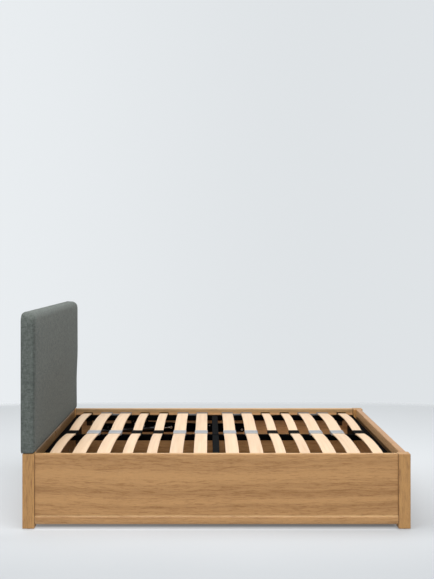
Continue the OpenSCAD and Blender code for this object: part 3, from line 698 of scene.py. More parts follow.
class Piece:
    """One piece in the making: a bmesh, and the calls that shape it."""

    DOME_STEPS = (0.14, 0.34), (0.2, 0.22), (0.2, 0.04)
    SOCKET_R = 0.44

    def __init__(self, name: str) -> None:
        """Starts an empty piece of that name."""
        self.name = name
        self.bm = bmesh.new()

    def bevel(self, edges: Iterable[BMEdge], radius: float, segments: int = 2) -> None:
        """Rounds those edges in a number of steps."""
        bmesh.ops.bevel(self.bm, geom=list(edges), offset=radius, offset_type="OFFSET", segments=segments,
                        profile=0.5, affect="EDGES", clamp_overlap=True, material=-1)

    def cube(self, low: Point, high: Point) -> list[BMVert]:
        """Adds a sharp block.

        Args:
            low: Lowest corner.
            high: Highest corner.

        Returns:
            Its corners.
        """
        verts = bmesh.ops.create_cube(self.bm, size=1.0)["verts"]
        bmesh.ops.scale(self.bm, vec=Vector(high) - Vector(low), verts=verts)
        bmesh.ops.translate(self.bm, vec=(Vector(high) + Vector(low)) / 2, verts=verts)
        return verts

    def block(self, low: Point, high: Point, radius: float, segments: int = 2) -> None:
        """Adds a block between two corners, with all its edges rounded."""
        verts = self.cube(low, high)
        self.bevel({e for v in verts for e in v.link_edges}, radius, segments)

    def inset(self, face: BMFace, inward: float, lift: float, even: bool = True) -> None:
        """Draws a face inward and lifts it; even keeps the step's width the same at sharp corners."""
        bmesh.ops.inset_region(self.bm, faces=[face], thickness=inward, depth=lift, use_even_offset=even)

    def lid(self, low: Point, high: Point, radius: float, margin: float, sink: float = 0.0006) -> None:
        """Adds a rounded block whose top has a sunk panel, as mouldings have.

        Args:
            low: Lowest corner.
            high: Highest corner.
            radius: Radius of the edges.
            margin: Width of the rim round the panel.
            sink: Depth of the panel.
        """
        before = set(self.bm.faces)
        self.block(low, high, radius)
        new = [f for f in self.bm.faces if f not in before]
        top = max(new, key=lambda f: (f.normal.z > 0.99) * f.calc_area())
        self.inset(top, margin, 0.0)
        self.inset(top, sink, -sink)

    def turned(self, profile: Sequence[tuple[float, float]], place: Matrix, steps: int = 24,
               closed: bool = False) -> None:
        """Adds a turned shape.

        Args:
            profile: Radius and height of each point of its outline.
            place: Where its axis, which is Z, goes.
            steps: Number of steps round.
            closed: Whether the outline runs back to its start, as a ring's does.
        """
        verts = [self.bm.verts.new((r, 0.0, h)) for r, h in profile]
        ends = list(zip(verts, verts[1:])) + ([(verts[-1], verts[0])] if closed else [])
        edges = [self.bm.edges.new(pair) for pair in ends]
        before = set(self.bm.verts) - set(verts)
        bmesh.ops.spin(self.bm, geom=verts + edges, cent=(0.0, 0.0, 0.0), axis=(0.0, 0.0, 1.0),
                       dvec=(0.0, 0.0, 0.0), angle=math.tau, steps=steps, use_merge=True)
        new = [v for v in self.bm.verts if v not in before]
        bmesh.ops.remove_doubles(self.bm, verts=new, dist=1e-6)
        bmesh.ops.transform(self.bm, matrix=place, verts=[v for v in self.bm.verts if v not in before])

    def screw(self, centre: Point, direction: Point, radius: float, height: float,
              washer: float = 0.0) -> None:
        """Adds a domed head with a hexagon socket, on a washer if it has one.

        Args:
            centre: Middle of its seat.
            direction: The way that the head faces.
            radius: Radius of the head.
            height: Height of the head, washer included.
            washer: Radius of the washer, or 0 for none.
        """
        place = facing(centre, direction)
        seat = 0.001 if washer else 0.0
        if washer:
            rim = [(0.0, 0.0), (washer, 0.0), (washer, seat * 0.7), (washer * 0.96, seat), (0.0, seat)]
            self.turned(rim, place)
        before = set(self.bm.verts)
        rise = height - seat
        made = bmesh.ops.create_cone(self.bm, cap_ends=True, cap_tris=False, segments=24, radius1=radius,
                                     radius2=radius * 0.98, depth=rise * 0.4)["verts"]
        bmesh.ops.translate(self.bm, vec=(0.0, 0.0, seat + rise * 0.2), verts=made)
        top = max({f for v in made for f in v.link_faces}, key=lambda f: f.calc_center_median().z)
        for inward, lift in self.DOME_STEPS:
            self.inset(top, radius * inward, rise * lift)
        for vert in top.verts:
            turn = math.atan2(vert.co.y, vert.co.x)
            flat = math.cos((turn + math.pi / 6) % (math.pi / 3) - math.pi / 6)
            reach = radius * self.SOCKET_R * math.cos(math.pi / 6) / flat
            vert.co.x, vert.co.y = reach * math.cos(turn), reach * math.sin(turn)
        self.inset(top, 0.0, -rise * 0.6, False)
        bmesh.ops.transform(self.bm, matrix=place, verts=[v for v in self.bm.verts if v not in before])

    def square_tube(self, low: Point, high: Point, axis: int, wall: float, radius: float) -> None:
        """Adds an open square tube with rolled corners.

        Args:
            low: Lowest corner.
            high: Highest corner.
            axis: Number of the axis that it runs along.
            wall: Thickness of its wall.
            radius: Radius of its outer corners.
        """
        for inner in (False, True):
            gap = [0.0 if i == axis or not inner else wall for i in range(3)]
            verts = self.cube(Vector(low) + Vector(gap), Vector(high) - Vector(gap))
            faces = {f for v in verts for f in v.link_faces}
            ends = [f for f in faces if abs(f.normal[axis]) > 0.9]
            bmesh.ops.delete(self.bm, geom=ends, context="FACES_ONLY")
            long = {e for v in verts for e in v.link_edges
                    if abs((e.verts[0].co - e.verts[1].co).normalized()[axis]) > 0.9}
            self.bevel(long, max(radius - (wall if inner else 0.0), 0.0008), 3)
        rims = [e for e in self.bm.edges if e.is_boundary]
        for end in (low[axis], high[axis]):
            loops = [e for e in rims if all(abs(v.co[axis] - end) < 1e-6 for v in e.verts)]
            bmesh.ops.bridge_loops(self.bm, edges=loops)

    def weld(self, start: Point, end: Point, radius: float, seed: int) -> None:
        """Adds a rippled weld bead.

        Args:
            start: One end of the joint.
            end: The other end.
            radius: Radius of the bead.
            seed: Seed of its small unevenness.
        """
        chance = random.Random(seed)
        line = Vector(end) - Vector(start)
        steps = max(4, int(line.length / 0.0022))
        profile = [(0.0, 0.0)]
        for i in range(1, steps):
            swell = math.sin(math.pi * i / steps) ** 0.35
            ripple = 0.86 + 0.14 * (i % 2) + chance.uniform(-0.05, 0.05)
            profile.append((radius * swell * ripple, line.length * i / steps))
        profile.append((0.0, line.length))
        self.turned(profile, facing(start, line), 8)

    def mirror_side(self) -> None:
        """Adds the same on the bed's other side."""
        geom = list(self.bm.verts) + list(self.bm.edges) + list(self.bm.faces)
        bmesh.ops.mirror(self.bm, geom=geom, matrix=Matrix.Identity(4), merge_dist=0.0, axis="Y")

    def mesh(self) -> Mesh:
        """Closes the piece.

        Returns:
            Its mesh, with its faces outwards.
        """
        bmesh.ops.recalc_face_normals(self.bm, faces=list(self.bm.faces))
        mesh = bpy.data.meshes.new(self.name)
        self.bm.to_mesh(mesh)
        self.bm.free()
        return mesh

    def make(self, body: str, finish: Finish, slot: str, *stands_for: str, sharp: float = 38.0) -> Object:
        """Closes the piece, gives it its finish and lets it ride.

        Args:
            body: The CAD body that it rides on.
            finish: Its finish.
            slot: The record's material slot; not used.
            stands_for: CAD nodes that it replaces.
            sharp: Angle in degrees over which an edge stays sharp.

        Returns:
            The piece's object.
        """
        mesh = self.mesh()
        mesh.shade_smooth()
        mesh.set_sharp_from_angle(angle=math.radians(sharp))
        mesh.materials.append(Workshop.material(finish))
        obj = placed(self.name, mesh)
        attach(obj, body)
        if stands_for:
            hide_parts(*stands_for)
        LOG.info("made %s: %d faces on %s", self.name, len(mesh.polygons), body)
        return obj


def socket_screws(name: str, node: str, finish: Finish, washer: float, direction: Point,
                  places: Iterable[Point]) -> None:
    """Makes the socket-headed screws of both sides of the bed, which stand for a CAD node's.

    Args:
        name: The piece's name.
        node: The CAD node.
        finish: Its finish.
        washer: Radius of the washers.
        direction: The way that the left side's heads face.
        places: Seats of the left side's screws.
    """
    piece = Piece(name)
    for place in places:
        piece.screw(place, direction, SCREW_R, SCREW_H, washer)
    piece.mirror_side()
    piece.make("bed_frame", finish, "zinc", node)


@dataclass
class Headboard:
    """The padded headboard: tweed over foam on a board, with legs and a stapled back."""

    stands_out: float = 0.001
    back_sunk: float = 0.0006
    foot_up: float = 0.0015
    corner_r: float = 0.042
    foot_r: float = 0.014
    front_r: float = 0.0125
    back_r: float = 0.007
    roll_front: float = 0.035
    roll_back: float = 0.016
    roll_fade: float = 0.1
    proud: float = 0.0072
    proud_from: float = 0.60
    proud_fade: float = 0.25
    voxel: float = 0.006
    coarse: float = 0.013
    pressure: float = 4.0
    frames: int = 20
    most: float = 0.0022
    held_back: float = 0.012
    held_foot: float = 0.004
    held_fade: float = 0.03
    staple_step: float = 0.042
    leg_bolt_in: float = 0.03
    bolt_r: float = 0.01

    def build(self) -> None:
        """Makes and dresses every part of the headboard."""
        self.upholster()
        self.staple_back()
        self.bolt_legs()
        Workshop.dress(BOARD, "headboard_board")
        Workshop.dress(DUST, "headboard_back_cover")
        Workshop.dress(PINE_LEG, "headboard_legs")

    def slab(self) -> Mesh:
        """Makes the pad before it swells: a slab with round corners and soft edges.

        Returns:
            Its mesh.
        """
        low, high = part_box("headboard_pad")
        front, back, out = high[0] + self.stands_out, low[0] + self.back_sunk, self.stands_out
        middle = (low[2] + high[2]) / 2
        piece = Piece("pad_slab")
        piece.cube((back, low[1] - out, low[2] + self.foot_up), (front, high[1] + out, high[2] + out * 2.0))
        edges = piece.bm.edges
        for top, radius in ((True, self.corner_r), (False, self.foot_r)):
            piece.bevel([e for e in edges if abs(e.verts[0].co.x - e.verts[1].co.x) > 0.01
                         and (e.verts[0].co.z > middle) == top], radius, 6)
        for x, radius, steps in ((front, self.front_r, 6), (back, self.back_r, 3)):
            piece.bevel([e for e in edges if all(abs(v.co.x - x) < 1e-5 for v in e.verts)], radius, steps)
        return piece.mesh()

    def even_mesh(self, size: float) -> Mesh:
        """Makes the unswollen pad in even squares, with its top rolled over.

        Args:
            size: Size of the squares.

        Returns:
            Its mesh.
        """
        draft = placed("pad_draft", self.slab())
        remesh = draft.modifiers.new("even", "REMESH")
        remesh.mode, remesh.voxel_size = "VOXEL", size
        even = bpy.data.meshes.new_from_object(draft.evaluated_get(bpy.context.evaluated_depsgraph_get()))
        bpy.data.objects.remove(draft)
        bm = bmesh.new()
        bm.from_mesh(even)
        for _ in range(2):
            bmesh.ops.smooth_vert(bm, verts=list(bm.verts), factor=0.5, use_axis_x=True, use_axis_y=True,
                                  use_axis_z=True)
        bm.to_mesh(even)
        bm.free()
        self.rolled_over(even)
        return even

    def rolled_over(self, mesh: Mesh) -> None:
        """Rolls the top edges over and lets the upper front stand proud, as thick foam does.

        Args:
            mesh: The even mesh, which is changed in place.
        """
        low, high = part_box("headboard_pad")

        def eased(value: float) -> float:
            """Rises softly from 0 to 1."""
            held = min(1.0, max(0.0, value))
            return held * held * (3.0 - 2.0 * held)

        def fall(inward: float, radius: float) -> float:
            """How far a round edge lies under its corner, at a distance inward."""
            rest = radius - min(radius, max(0.0, inward))
            return radius - math.sqrt(radius * radius - rest * rest)

        for vert in mesh.vertices:
            ahead, behind = high[0] - vert.co.x, vert.co.x - low[0]
            drop = fall(ahead, self.roll_front) - fall(ahead, self.front_r)
            drop += fall(behind, self.roll_back) - fall(behind, self.back_r)
            forward = eased(behind / (high[0] - low[0]))
            forward *= eased((vert.co.z - self.proud_from) / self.proud_fade)
            vert.co.z -= drop * eased((vert.co.z - high[2] + self.roll_fade) / self.roll_fade)
            vert.co.x += self.proud * forward

    def swelling(self) -> tuple[list[Vector], list[Vector]]:
        """Swells a coarse copy of the pad by cloth simulation, with its back and foot held.

        Returns:
            Where its points were, and how far each one moved.
        """
        low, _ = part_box("headboard_pad")
        scene = bpy.context.scene
        pad = placed("pad_swelling", self.even_mesh(self.coarse))
        held = pad.vertex_groups.new(name="held")
        for vert in pad.data.vertices:
            depth = (vert.co.x - low[0] - self.held_back) / self.held_fade
            foot = (vert.co.z - low[2] - self.held_foot) / self.held_fade
            held.add([vert.index], 1.0 - min(1.0, max(0.0, min(depth, foot))), "REPLACE")
        cloth = pad.modifiers.new("cloth", "CLOTH")
        cloth.settings.quality = 4
        cloth.settings.mass = 0.4
        cloth.settings.use_pressure = True
        cloth.settings.uniform_pressure_force = self.pressure
        cloth.settings.effector_weights.gravity = 0.0
        cloth.settings.vertex_group_mass = "held"
        cloth.collision_settings.use_collision = False
        cloth.collision_settings.use_self_collision = False
        for step in range(1, self.frames + 1):
            scene.frame_set(step)
        done = pad.evaluated_get(bpy.context.evaluated_depsgraph_get()).to_mesh()
        places = [vert.co.copy() for vert in pad.data.vertices]
        shifts = [moved.co - place for moved, place in zip(done.vertices, places)]
        scene.frame_set(1)
        bpy.data.objects.remove(pad)
        return places, [shift * min(1.0, self.most / max(shift.length, 1e-9)) for shift in shifts]

    def swollen(self, mesh: Mesh) -> None:
        """Moves each point as the coarse pad's points round it moved.

        Args:
            mesh: The even mesh, which is changed in place.
        """
        places, shifts = self.swelling()
        tree = KDTree(len(places))
        for i, place in enumerate(places):
            tree.insert(place, i)
        tree.balance()
        for vert in mesh.vertices:
            near = [(shifts[i], 1.0 / (0.002 + gap) ** 2) for _, i, gap in tree.find_n(vert.co, 6)]
            whole = sum(share for _, share in near)
            vert.co += sum((shift * share for shift, share in near), Vector()) / whole

    def upholster(self) -> None:
        """Makes the padded cover and lets it stand for the CAD's pad."""
        mesh = self.even_mesh(self.voxel)
        self.swollen(mesh)
        piece = Piece("headboard_upholstery")
        piece.bm.from_mesh(mesh)
        tweed = Tweed("headboard_tweed", *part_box("headboard_pad"))
        pad = piece.make("bed_frame", tweed, "tweed", "headboard_pad", sharp=60.0)

    def staple_back(self) -> None:
        """Staples round the edge of the dust cover."""
        low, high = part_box("headboard_back_cover")
        piece = Piece("headboard_staples")
        inset, half, thick = 0.006, 0.005, 0.0005
        y0, y1, z0, z1 = low[1] + inset, high[1] - inset, low[2] + inset, high[2] - inset
        across = int((y1 - y0) / self.staple_step)
        upward = int((z1 - z0) / self.staple_step)
        spots = [(y0 + (y1 - y0) * i / across, z, True) for i in range(across + 1) for z in (z0, z1)]
        spots += [(y, z0 + (z1 - z0) * i / upward, False) for i in range(1, upward) for y in (y0, y1)]
        for y, z, level in spots:
            dy, dz = (half, thick) if level else (thick, half)
            piece.block((low[0] - thick, y - dy, z - dz), (low[0] + 0.0004, y + dy, z + dz), 0.0002, 1)
        piece.make("bed_frame", ZINC, "zinc")

    def bolt_legs(self) -> None:
        """Bolts that hold the legs to the head panel."""
        low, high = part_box("headboard_bolts")
        face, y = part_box("head_panel")[1][0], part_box("headboard_legs")[1][1] - self.leg_bolt_in
        socket_screws("headboard_leg_bolts", "headboard_bolts", ZINC, self.bolt_r, (1.0, 0.0, 0.0),
                      [(face, y, z) for z in (low[2] + self.bolt_r, high[2] - self.bolt_r)])


@dataclass
class OakFrame:
    """Corner posts, side, head and foot panels, plinths, and what holds them together."""

    # Factors on the wood's colour that paint light and shade onto the boards.
    side_inner_painted_light: Colour = (1.1, 1.16, 1.3)
    side_top_painted_light: Colour = (1.08, 1.2, 1.28)
    left_inner_painted_shade: Colour = (0.8, 0.885, 0.97)
    left_upper_painted_light: Colour = (1.41, 1.39, 1.49)
    plinth_foot_painted_shade: Colour = (0.92, 0.94, 0.98)
    foot_top_painted_shade: Colour = (0.91, 0.88, 0.97)
    foot_inner_painted_light: Colour = (1.36, 1.52, 2.0)
    foot_painted_shadow: Colour = (0.13, 0.11, 0.09)
    head_inner_painted_shade: Colour = (0.52, 0.55, 0.62)
    head_low_painted_shade: Colour = (1.0, 0.96, 0.92)

    def build(self) -> None:
        """Dresses the oak boards and their fixings."""
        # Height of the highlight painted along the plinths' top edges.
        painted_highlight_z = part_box("side_plinth_left")[1][2] + 0.0012
        low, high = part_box("side_panel_left")
        side = Oak("oak_side_boards", Grain.ALONG_BED, painted_highlight_z=painted_highlight_z, painted_head_shadow=0.24, seams=(low[0], high[0]),
                   painted_light_tints=self.side_painted_light())
        foot = Oak("oak_foot_boards", Grain.ACROSS_BED, painted_highlight_z=painted_highlight_z, painted_light_tints=self.foot_painted_light())
        head = Oak("oak_head_board", Grain.ACROSS_BED, painted_light_tints=self.head_painted_light())
        Workshop.dress(side, *both("side_panel", "side_plinth"))
        Workshop.dress(foot, "foot_panel", "foot_plinth")
        Workshop.dress(head, "head_panel")
        Workshop.dress(OAK_POST, *both("head_post", "foot_post"))
        Workshop.dress(BLACK_CAP, "post_glides")
        Workshop.dress(BROWN_COAT, "corner_brackets")
        self.corner_screws()

    @staticmethod
    def inner_face(axis: int, face: float, tone: Colour, **limits: float | bool) -> PaintedLight:
        """Painted light or shade on the inner face of the boards that stand at that distance from the middle.
        """
        return PaintedLight(axis, face + 0.0018, face + 0.0008, tone, **limits)

    @staticmethod
    def top_edge(top: float, tone: Colour) -> PaintedLight:
        """Painted light or shade on a board's top."""
        return PaintedLight(2, top - 0.002, top - 0.0005, tone)

    def side_painted_light(self) -> tuple[PaintedLight, ...]:
        """Painted light and shade on the side boards: the light and shadow inside the bed that the photograph
        shows.

        Returns:
            The patches of painted light and shade.
        """
        low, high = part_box("side_panel_left")
        face, top = low[1], high[2]
        # Painted light on the inner face and the top edge, painted shade high and painted light lower on the
        # far side's inner face, and painted shade low on the plinths.
        return (self.inner_face(1, face, self.side_inner_painted_light), self.top_edge(top, self.side_top_painted_light),
                self.inner_face(1, face, self.left_inner_painted_shade, down_to=top - 0.016, left_only=True),
                self.inner_face(1, face, self.left_upper_painted_light, up_to=top - 0.031, down_to=0.25, fade=0.09,
                                left_only=True),
                PaintedLight(2, 0.056, 0.040, self.plinth_foot_painted_shade))

    def foot_painted_light(self) -> tuple[PaintedLight, ...]:
        """Painted light and shade on the foot boards, with a painted shadow band behind the platform's foot
        tube.

        Returns:
            The patches of painted light and shade.
        """
        face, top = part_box("foot_panel")[0][0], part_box("side_panel_left")[1][2]
        tube_low, tube_high = (corner[2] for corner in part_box("head_tube"))
        # Painted shade on the top edge, painted light on the inner face, and a painted shadow band behind the
        # foot tube.
        return (self.top_edge(top, self.foot_top_painted_shade), self.inner_face(0, face, self.foot_inner_painted_light),
                self.inner_face(0, face, self.foot_painted_shadow, up_to=tube_high - 0.008, down_to=tube_low + 0.004))

    def head_painted_light(self) -> tuple[PaintedLight, ...]:
        """Painted shade on the head panel's inner face, where little light comes.

        Returns:
            The patches of painted shade.
        """
        face, tube_high = abs(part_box("head_panel")[0][0]) - 0.012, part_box("head_tube")[1][2]
        # Painted shade on the inner face, and a second painted shade below the tube's top.
        return (PaintedLight(0, face, face - 0.004, self.head_inner_painted_shade),
                PaintedLight(0, face, face - 0.004, self.head_low_painted_shade, tube_high - 0.008))

    def corner_screws(self) -> None:
        """Screws through the corner angles."""
        low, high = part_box("corner_bolts")
        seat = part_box("side_panel_left")[0][1] - 0.003
        socket_screws("corner_screws", "corner_bolts", BLACK_ZINC, 0.0095, (0.0, -1.0, 0.0),
                      [(x, seat, z) for x in (low[0] + SCREW_R, high[0] - SCREW_R)
                       for z in (low[2] + SCREW_FLAT, high[2] - SCREW_FLAT)])


@dataclass
class StorageBase:
    """The storage floor on its battens, and the rests for the closed platform."""

    screw_step: float = 0.235
    screw_r: float = 0.0042
    ledge_half: float = 0.0125
    buffer_r: float = 0.012

    def build(self) -> None:
        """Dresses the base and makes its screws and buffers."""
        Workshop.dress(BOARD, "floor_boards")
        Workshop.dress(PINE_LONG, "side_ledges", "floor_beam")
        Workshop.dress(PINE_WIDE, "end_ledges")
        Workshop.dress(BLACK_CAP, "beam_feet")
        Workshop.dress(BROWN_COAT, "rest_brackets")
        self.floor_screws()
        self.buffers()

    def floor_screws(self) -> None:
        """Countersunk screws through the base boards into the battens."""
        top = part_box("floor_boards")[1][2]
        low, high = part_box("side_ledges")
        piece = Piece("floor_screws")
        x0, x1 = low[0] + 0.05, high[0] - 0.05
        side = high[1] - self.ledge_half
        count = int((x1 - x0) / self.screw_step)
        for i in range(count + 1):
            x = x0 + (x1 - x0) * i / count
            for y in (-side, 0.0, side):
                piece.screw((x, y, top - 0.0006), (0.0, 0.0, 1.0), self.screw_r, 0.0014)
        piece.make("bed_frame", ZINC, "zinc")

    def buffers(self) -> None:
        """Turned rubber buffers, domed, with a waist."""
        low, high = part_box("rest_buffers")
        r, h = self.buffer_r, high[2] - low[2]
        profile = [(0.0, 0.0), (r, 0.0), (r, h * 0.3), (r * 0.93, h * 0.42), (r * 0.93, h * 0.6),
                   (r * 0.98, h * 0.72), (r * 0.95, h * 0.9), (r * 0.8, h), (0.0, h)]
        piece = Piece("rest_rubber_buffers")
        for x in (low[0] + r, high[0] - r):
            piece.turned(profile, facing((x, high[1] - r, low[2]), (0.0, 0.0, 1.0)), 28)
        piece.mirror_side()
        piece.make("bed_frame", BUFFER, "rubber", "rest_buffers")


@dataclass
class Platform:
    """The lifting frame of square steel tube, with rolled corners and weld beads."""

    wall: float = 0.0015
    corner: float = 0.0032
    bead: float = 0.0022
    bead_gap: float = 0.003

    def build(self) -> None:
        """Makes the tubes and welds, and dresses the plugs."""
        self.tubes()
        self.welds()
        Workshop.dress(BLACK_CAP, "tube_plugs")

    def tubes(self) -> None:
        """Replaces each CAD tube by one with rolled corners."""
        for node in (*both("side_tube"), "head_tube", "foot_tube", "centre_tube"):
            axis = 1 if node in ("head_tube", "foot_tube") else 0
            piece = Piece(node.replace("tube", "rail_tube"))
            piece.square_tube(*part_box(node), axis, self.wall, self.corner)
            piece.make("platform", STEEL, "black_steel", node)
        low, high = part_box("cross_bars")
        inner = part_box("centre_tube")[1][1]
        piece = Piece("cross_bar_tubes")
        piece.square_tube((low[0], inner, low[2]), high, 1, self.wall, self.corner)
        piece.mirror_side()
        # The cross bars take the painted-lit copy of the black coat.
        piece.make("platform", STEEL_PAINTED_LIT, "black_steel", "cross_bars")

    def welds(self) -> None:
        """Beads up the corners where one tube meets another."""
        side, centre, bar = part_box("side_tube_left"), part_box("centre_tube"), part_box("cross_bars")
        head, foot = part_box("head_tube"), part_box("foot_tube")
        wall_y, centre_y, bottom = side[0][1], centre[1][1], side[0][2]
        piece = Piece("weld_beads")
        spots = [(head[1][0], wall_y), (foot[0][0], wall_y)]
        spots += [(x, y) for x in (bar[0][0], bar[1][0]) for y in (wall_y, centre_y)]
        spots += [(x, centre_y) for x in (head[1][0], foot[0][0])]
        for i, (x, y) in enumerate(spots):
            piece.weld((x, y, bottom + self.bead_gap), (x, y, side[1][2] - self.bead_gap), self.bead, i)
        for i, (low, high) in enumerate((head, foot, bar)):
            piece.weld((low[0] + self.bead_gap, wall_y, bottom), (high[0] - self.bead_gap, wall_y, bottom),
                       self.bead * 0.8, 40 + i)
        piece.mirror_side()
        piece.make("platform", STEEL, "black_steel")


@dataclass(frozen=True)
class SlatKind:
    """One kind of slat: its rows, counted from the middle, its width, and the make of its middle caps."""

    name: str
    rows: tuple[int, ...]
    width: float
    finish: Finish
    slot: str


NARROW = SlatKind("narrow", (2, 3, 6), 0.058, BLACK_CAP, "black_plastic")
WIDE = SlatKind("wide", (0, 1, 4, 5), 0.075, PALE_CAP, "grey_plastic")


@dataclass
class Slats:
    """The sprung half slats in their rows, with the caps that hold them."""

    thick: float = 0.008
    bow: float = 0.018
    end_top: float = 0.380
    inner: float = 0.027
    outer_in: float = 0.007
    first_row: float = 0.090
    pitch: float = 0.136
    twin_rows: tuple[int, ...] = (0, 4)
    cap_wall: float = 0.003
    cap_long: float = 0.034
    cap_r: float = 0.002
    ribs: tuple[float, ...] = (0.011, 0.017, 0.023)
    rib_half: float = 0.0009

    def build(self) -> None:
        """Makes the slats and all four kinds of cap."""
        for make in (self.slats, self.middle_caps):
            for kind in (NARROW, WIDE):
                make(kind)
        self.side_caps()
        self.twin_caps()

    def rows(self, numbers: Iterable[int]) -> list[float]:
        """X of the middle of each numbered row, on both halves of the platform."""
        middle = sum(corner[0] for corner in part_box("side_tube_left")) / 2
        return [middle + side * (self.first_row + k * self.pitch) for k in numbers for side in (-1, 1)]

    def top_at(self, y: float) -> float:
        """Finds the height of a bent slat's top.

        Args:
            y: Distance from the bed's middle.

        Returns:
            The height.
        """
        start, end = self.inner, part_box("side_tube_left")[1][1] - self.outer_in
        chord = end - start
        radius = chord * chord / (8 * self.bow) + self.bow / 2
        off = y - (start + end) / 2
        return self.end_top + self.bow - radius + math.sqrt(radius * radius - off * off)

    @staticmethod
    def runs_long(edge: BMEdge) -> bool:
        """Whether an edge runs along its slat."""
        return abs(edge.verts[0].co.y - edge.verts[1].co.y) > 0.01

    def slats(self, kind: SlatKind) -> None:
        """Bends one half slat for each row and side.

        Args:
            kind: The kind of slat.
        """
        node = f"{kind.name}_slats"
        piece = Piece(f"{kind.name}_slat_set")
        bm, half = piece.bm, kind.width / 2
        tone_of, layer_of = bm.verts.layers.float.new("tone"), bm.verts.layers.float.new("layer")
        chance = random.Random(piece.name)
        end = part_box(node)[1][1]
        for x in self.rows(kind.rows):
            for side in (1, -1):
                verts = piece.cube((x - half, self.inner, -self.thick), (x + half, end, 0.0))
                piece.bevel({e for v in verts for e in v.link_edges if self.runs_long(e)}, 0.0014)
                long = [e for e in bm.edges if e.verts[0][tone_of] == 0.0 and self.runs_long(e)]
                bmesh.ops.subdivide_edges(bm, edges=long, cuts=19, use_grid_fill=True)
                tone = chance.uniform(0.05, 1.0)
                for vert in (v for v in bm.verts if v[tone_of] == 0.0):
                    vert[tone_of] = tone
                    vert[layer_of] = 1.0 + vert.co.z / self.thick
                    vert.co = (vert.co.x, side * vert.co.y, self.top_at(vert.co.y) + vert.co.z)
        piece.make("platform", SLAT, "beech", node)

    def middle_caps(self, kind: SlatKind) -> None:
        """Makes double caps on the middle tube, each with a foot, two wings and a rib between the slats.

        Args:
            kind: The kind of slat that they hold.
        """
        node = f"{kind.name}_centre_caps"
        low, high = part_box(node)
        tube_low, tube_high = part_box("centre_tube")
        seat = tube_high[2]
        piece = Piece(f"{kind.name}_middle_caps")
        half = kind.width / 2 + self.cap_wall
        for x in self.rows(kind.rows):
            piece.block((x - half, tube_low[1], seat), (x + half, tube_high[1], seat + 0.004), 0.001)
            for side in (-1, 1):
                y0, y1 = sorted((side * 0.004, side * high[1]))
                piece.lid((x - half, y0, low[2] + 0.002), (x + half, y1, high[2]), self.cap_r, 0.005)
            piece.block((x - half + 0.002, -0.0055, low[2] + 0.003),
                        (x + half - 0.002, 0.0055, high[2] - 0.003), 0.001)
        piece.make("platform", kind.finish, kind.slot, node)

    def side_caps(self) -> None:
        """Single black caps on the side tubes, with grip ribs on top."""
        low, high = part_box("narrow_end_caps")
        start = high[1] - self.cap_long
        piece = Piece("narrow_side_caps")
        half = NARROW.width / 2 + self.cap_wall
        for x in self.rows(NARROW.rows):
            piece.lid((x - half, start, low[2]), (x + half, high[1], high[2] - 0.0006), self.cap_r, 0.004)
            for y in self.ribs:
                piece.block((x - half + 0.009, start + y - self.rib_half, high[2] - 0.002),
                            (x + half - 0.009, start + y + self.rib_half, high[2]), 0.0006)
        piece.mirror_side()
        piece.make("platform", BLACK_CAP, "black_plastic", "narrow_end_caps")

    def twin_caps(self) -> None:
        """Pale twin caps on the side tubes, two pockets joined by a lower bridge."""
        low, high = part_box("wide_end_caps")
        start = high[1] - self.cap_long
        piece = Piece("wide_twin_side_caps")
        half = WIDE.width / 2 + self.cap_wall
        for k in self.twin_rows:
            for pair in zip(self.rows([k]), self.rows([k + 1])):
                for x in pair:
                    piece.lid((x - half, start, low[2]), (x + half, high[1], high[2]), 0.0025, 0.005)
                x0, x1 = sorted(pair)
                piece.block((x0 + half - 0.002, start + 0.006, low[2]),
                            (x1 - half + 0.002, high[1] - 0.006, high[2] - 0.009), self.cap_r)
        piece.mirror_side()
        piece.make("platform", SIDE_CAP, "grey_plastic", "wide_end_caps")


@dataclass
class Lift:
    """The arms, rails, brackets, pins and gas struts that carry the platform."""

    strut_base: Point = (-0.8245, 0.719, 0.258)
    strut_slope: float = 2.7418
    body_end: float = 0.468
    body_r: float = 0.011
    rod_hole_r: float = 0.0056
    grooves: tuple[float, ...] = (0.024, 0.43)

    def build(self) -> None:
        """Dresses the linkage and makes the struts' glands and the rails' screws."""
        Workshop.dress(STEEL, *both("base_rail", "rear_arm", "front_arm", "lift_bracket"))
        Workshop.dress(GLOSS, *both("strut_cylinder"))
        Workshop.dress(CHROME, *both("strut_rod"))
        Workshop.dress(ZINC, "base_pivot_pins", "strut_base_studs", "platform_pivot_pins",
                       "lift_bracket_bolts")
        self.glands()
        self.rail_screws()

    def glands(self) -> None:
        """Rings round the struts: the rolled grooves, and the gland that the rod runs through."""
        slope = math.radians(self.strut_slope)
        along = Vector((math.cos(slope), 0.0, math.sin(slope)))
        base, r, hole = Vector(self.strut_base), self.body_r, self.rod_hole_r
        cap = [(hole, 0.0), (r + 0.0006, 0.0), (r + 0.0009, 0.001), (r + 0.0009, 0.007), (r * 0.9, 0.0095),
               (r * 0.66, 0.0102), (hole, 0.0102)]
        ring = [(r - 0.0006, 0.0), (r + 0.0005, 0.0006), (r + 0.0005, 0.0022), (r - 0.0006, 0.0028)]
        piece = Piece("strut_glands")
        for profile, at in ((cap, self.body_end - 0.008), *((ring, groove) for groove in self.grooves)):
            piece.turned(profile, facing(base + along * at, along), 32, True)
        piece.mirror_side()
        piece.make("strut_cylinders", BLACK_CAP, "black_plastic")

    def rail_screws(self) -> None:
        """Screws that hold the base rails to the side panels."""
        low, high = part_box("base_rail_bolts")
        seat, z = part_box("base_rail_left")[0][1], (low[2] + high[2]) / 2
        socket_screws("base_rail_screws", "base_rail_bolts", BLACK_ZINC, 0.0105, (0.0, -1.0, 0.0),
                      [(x, seat, z) for x in (low[0] + SCREW_R, high[0] - SCREW_R)])


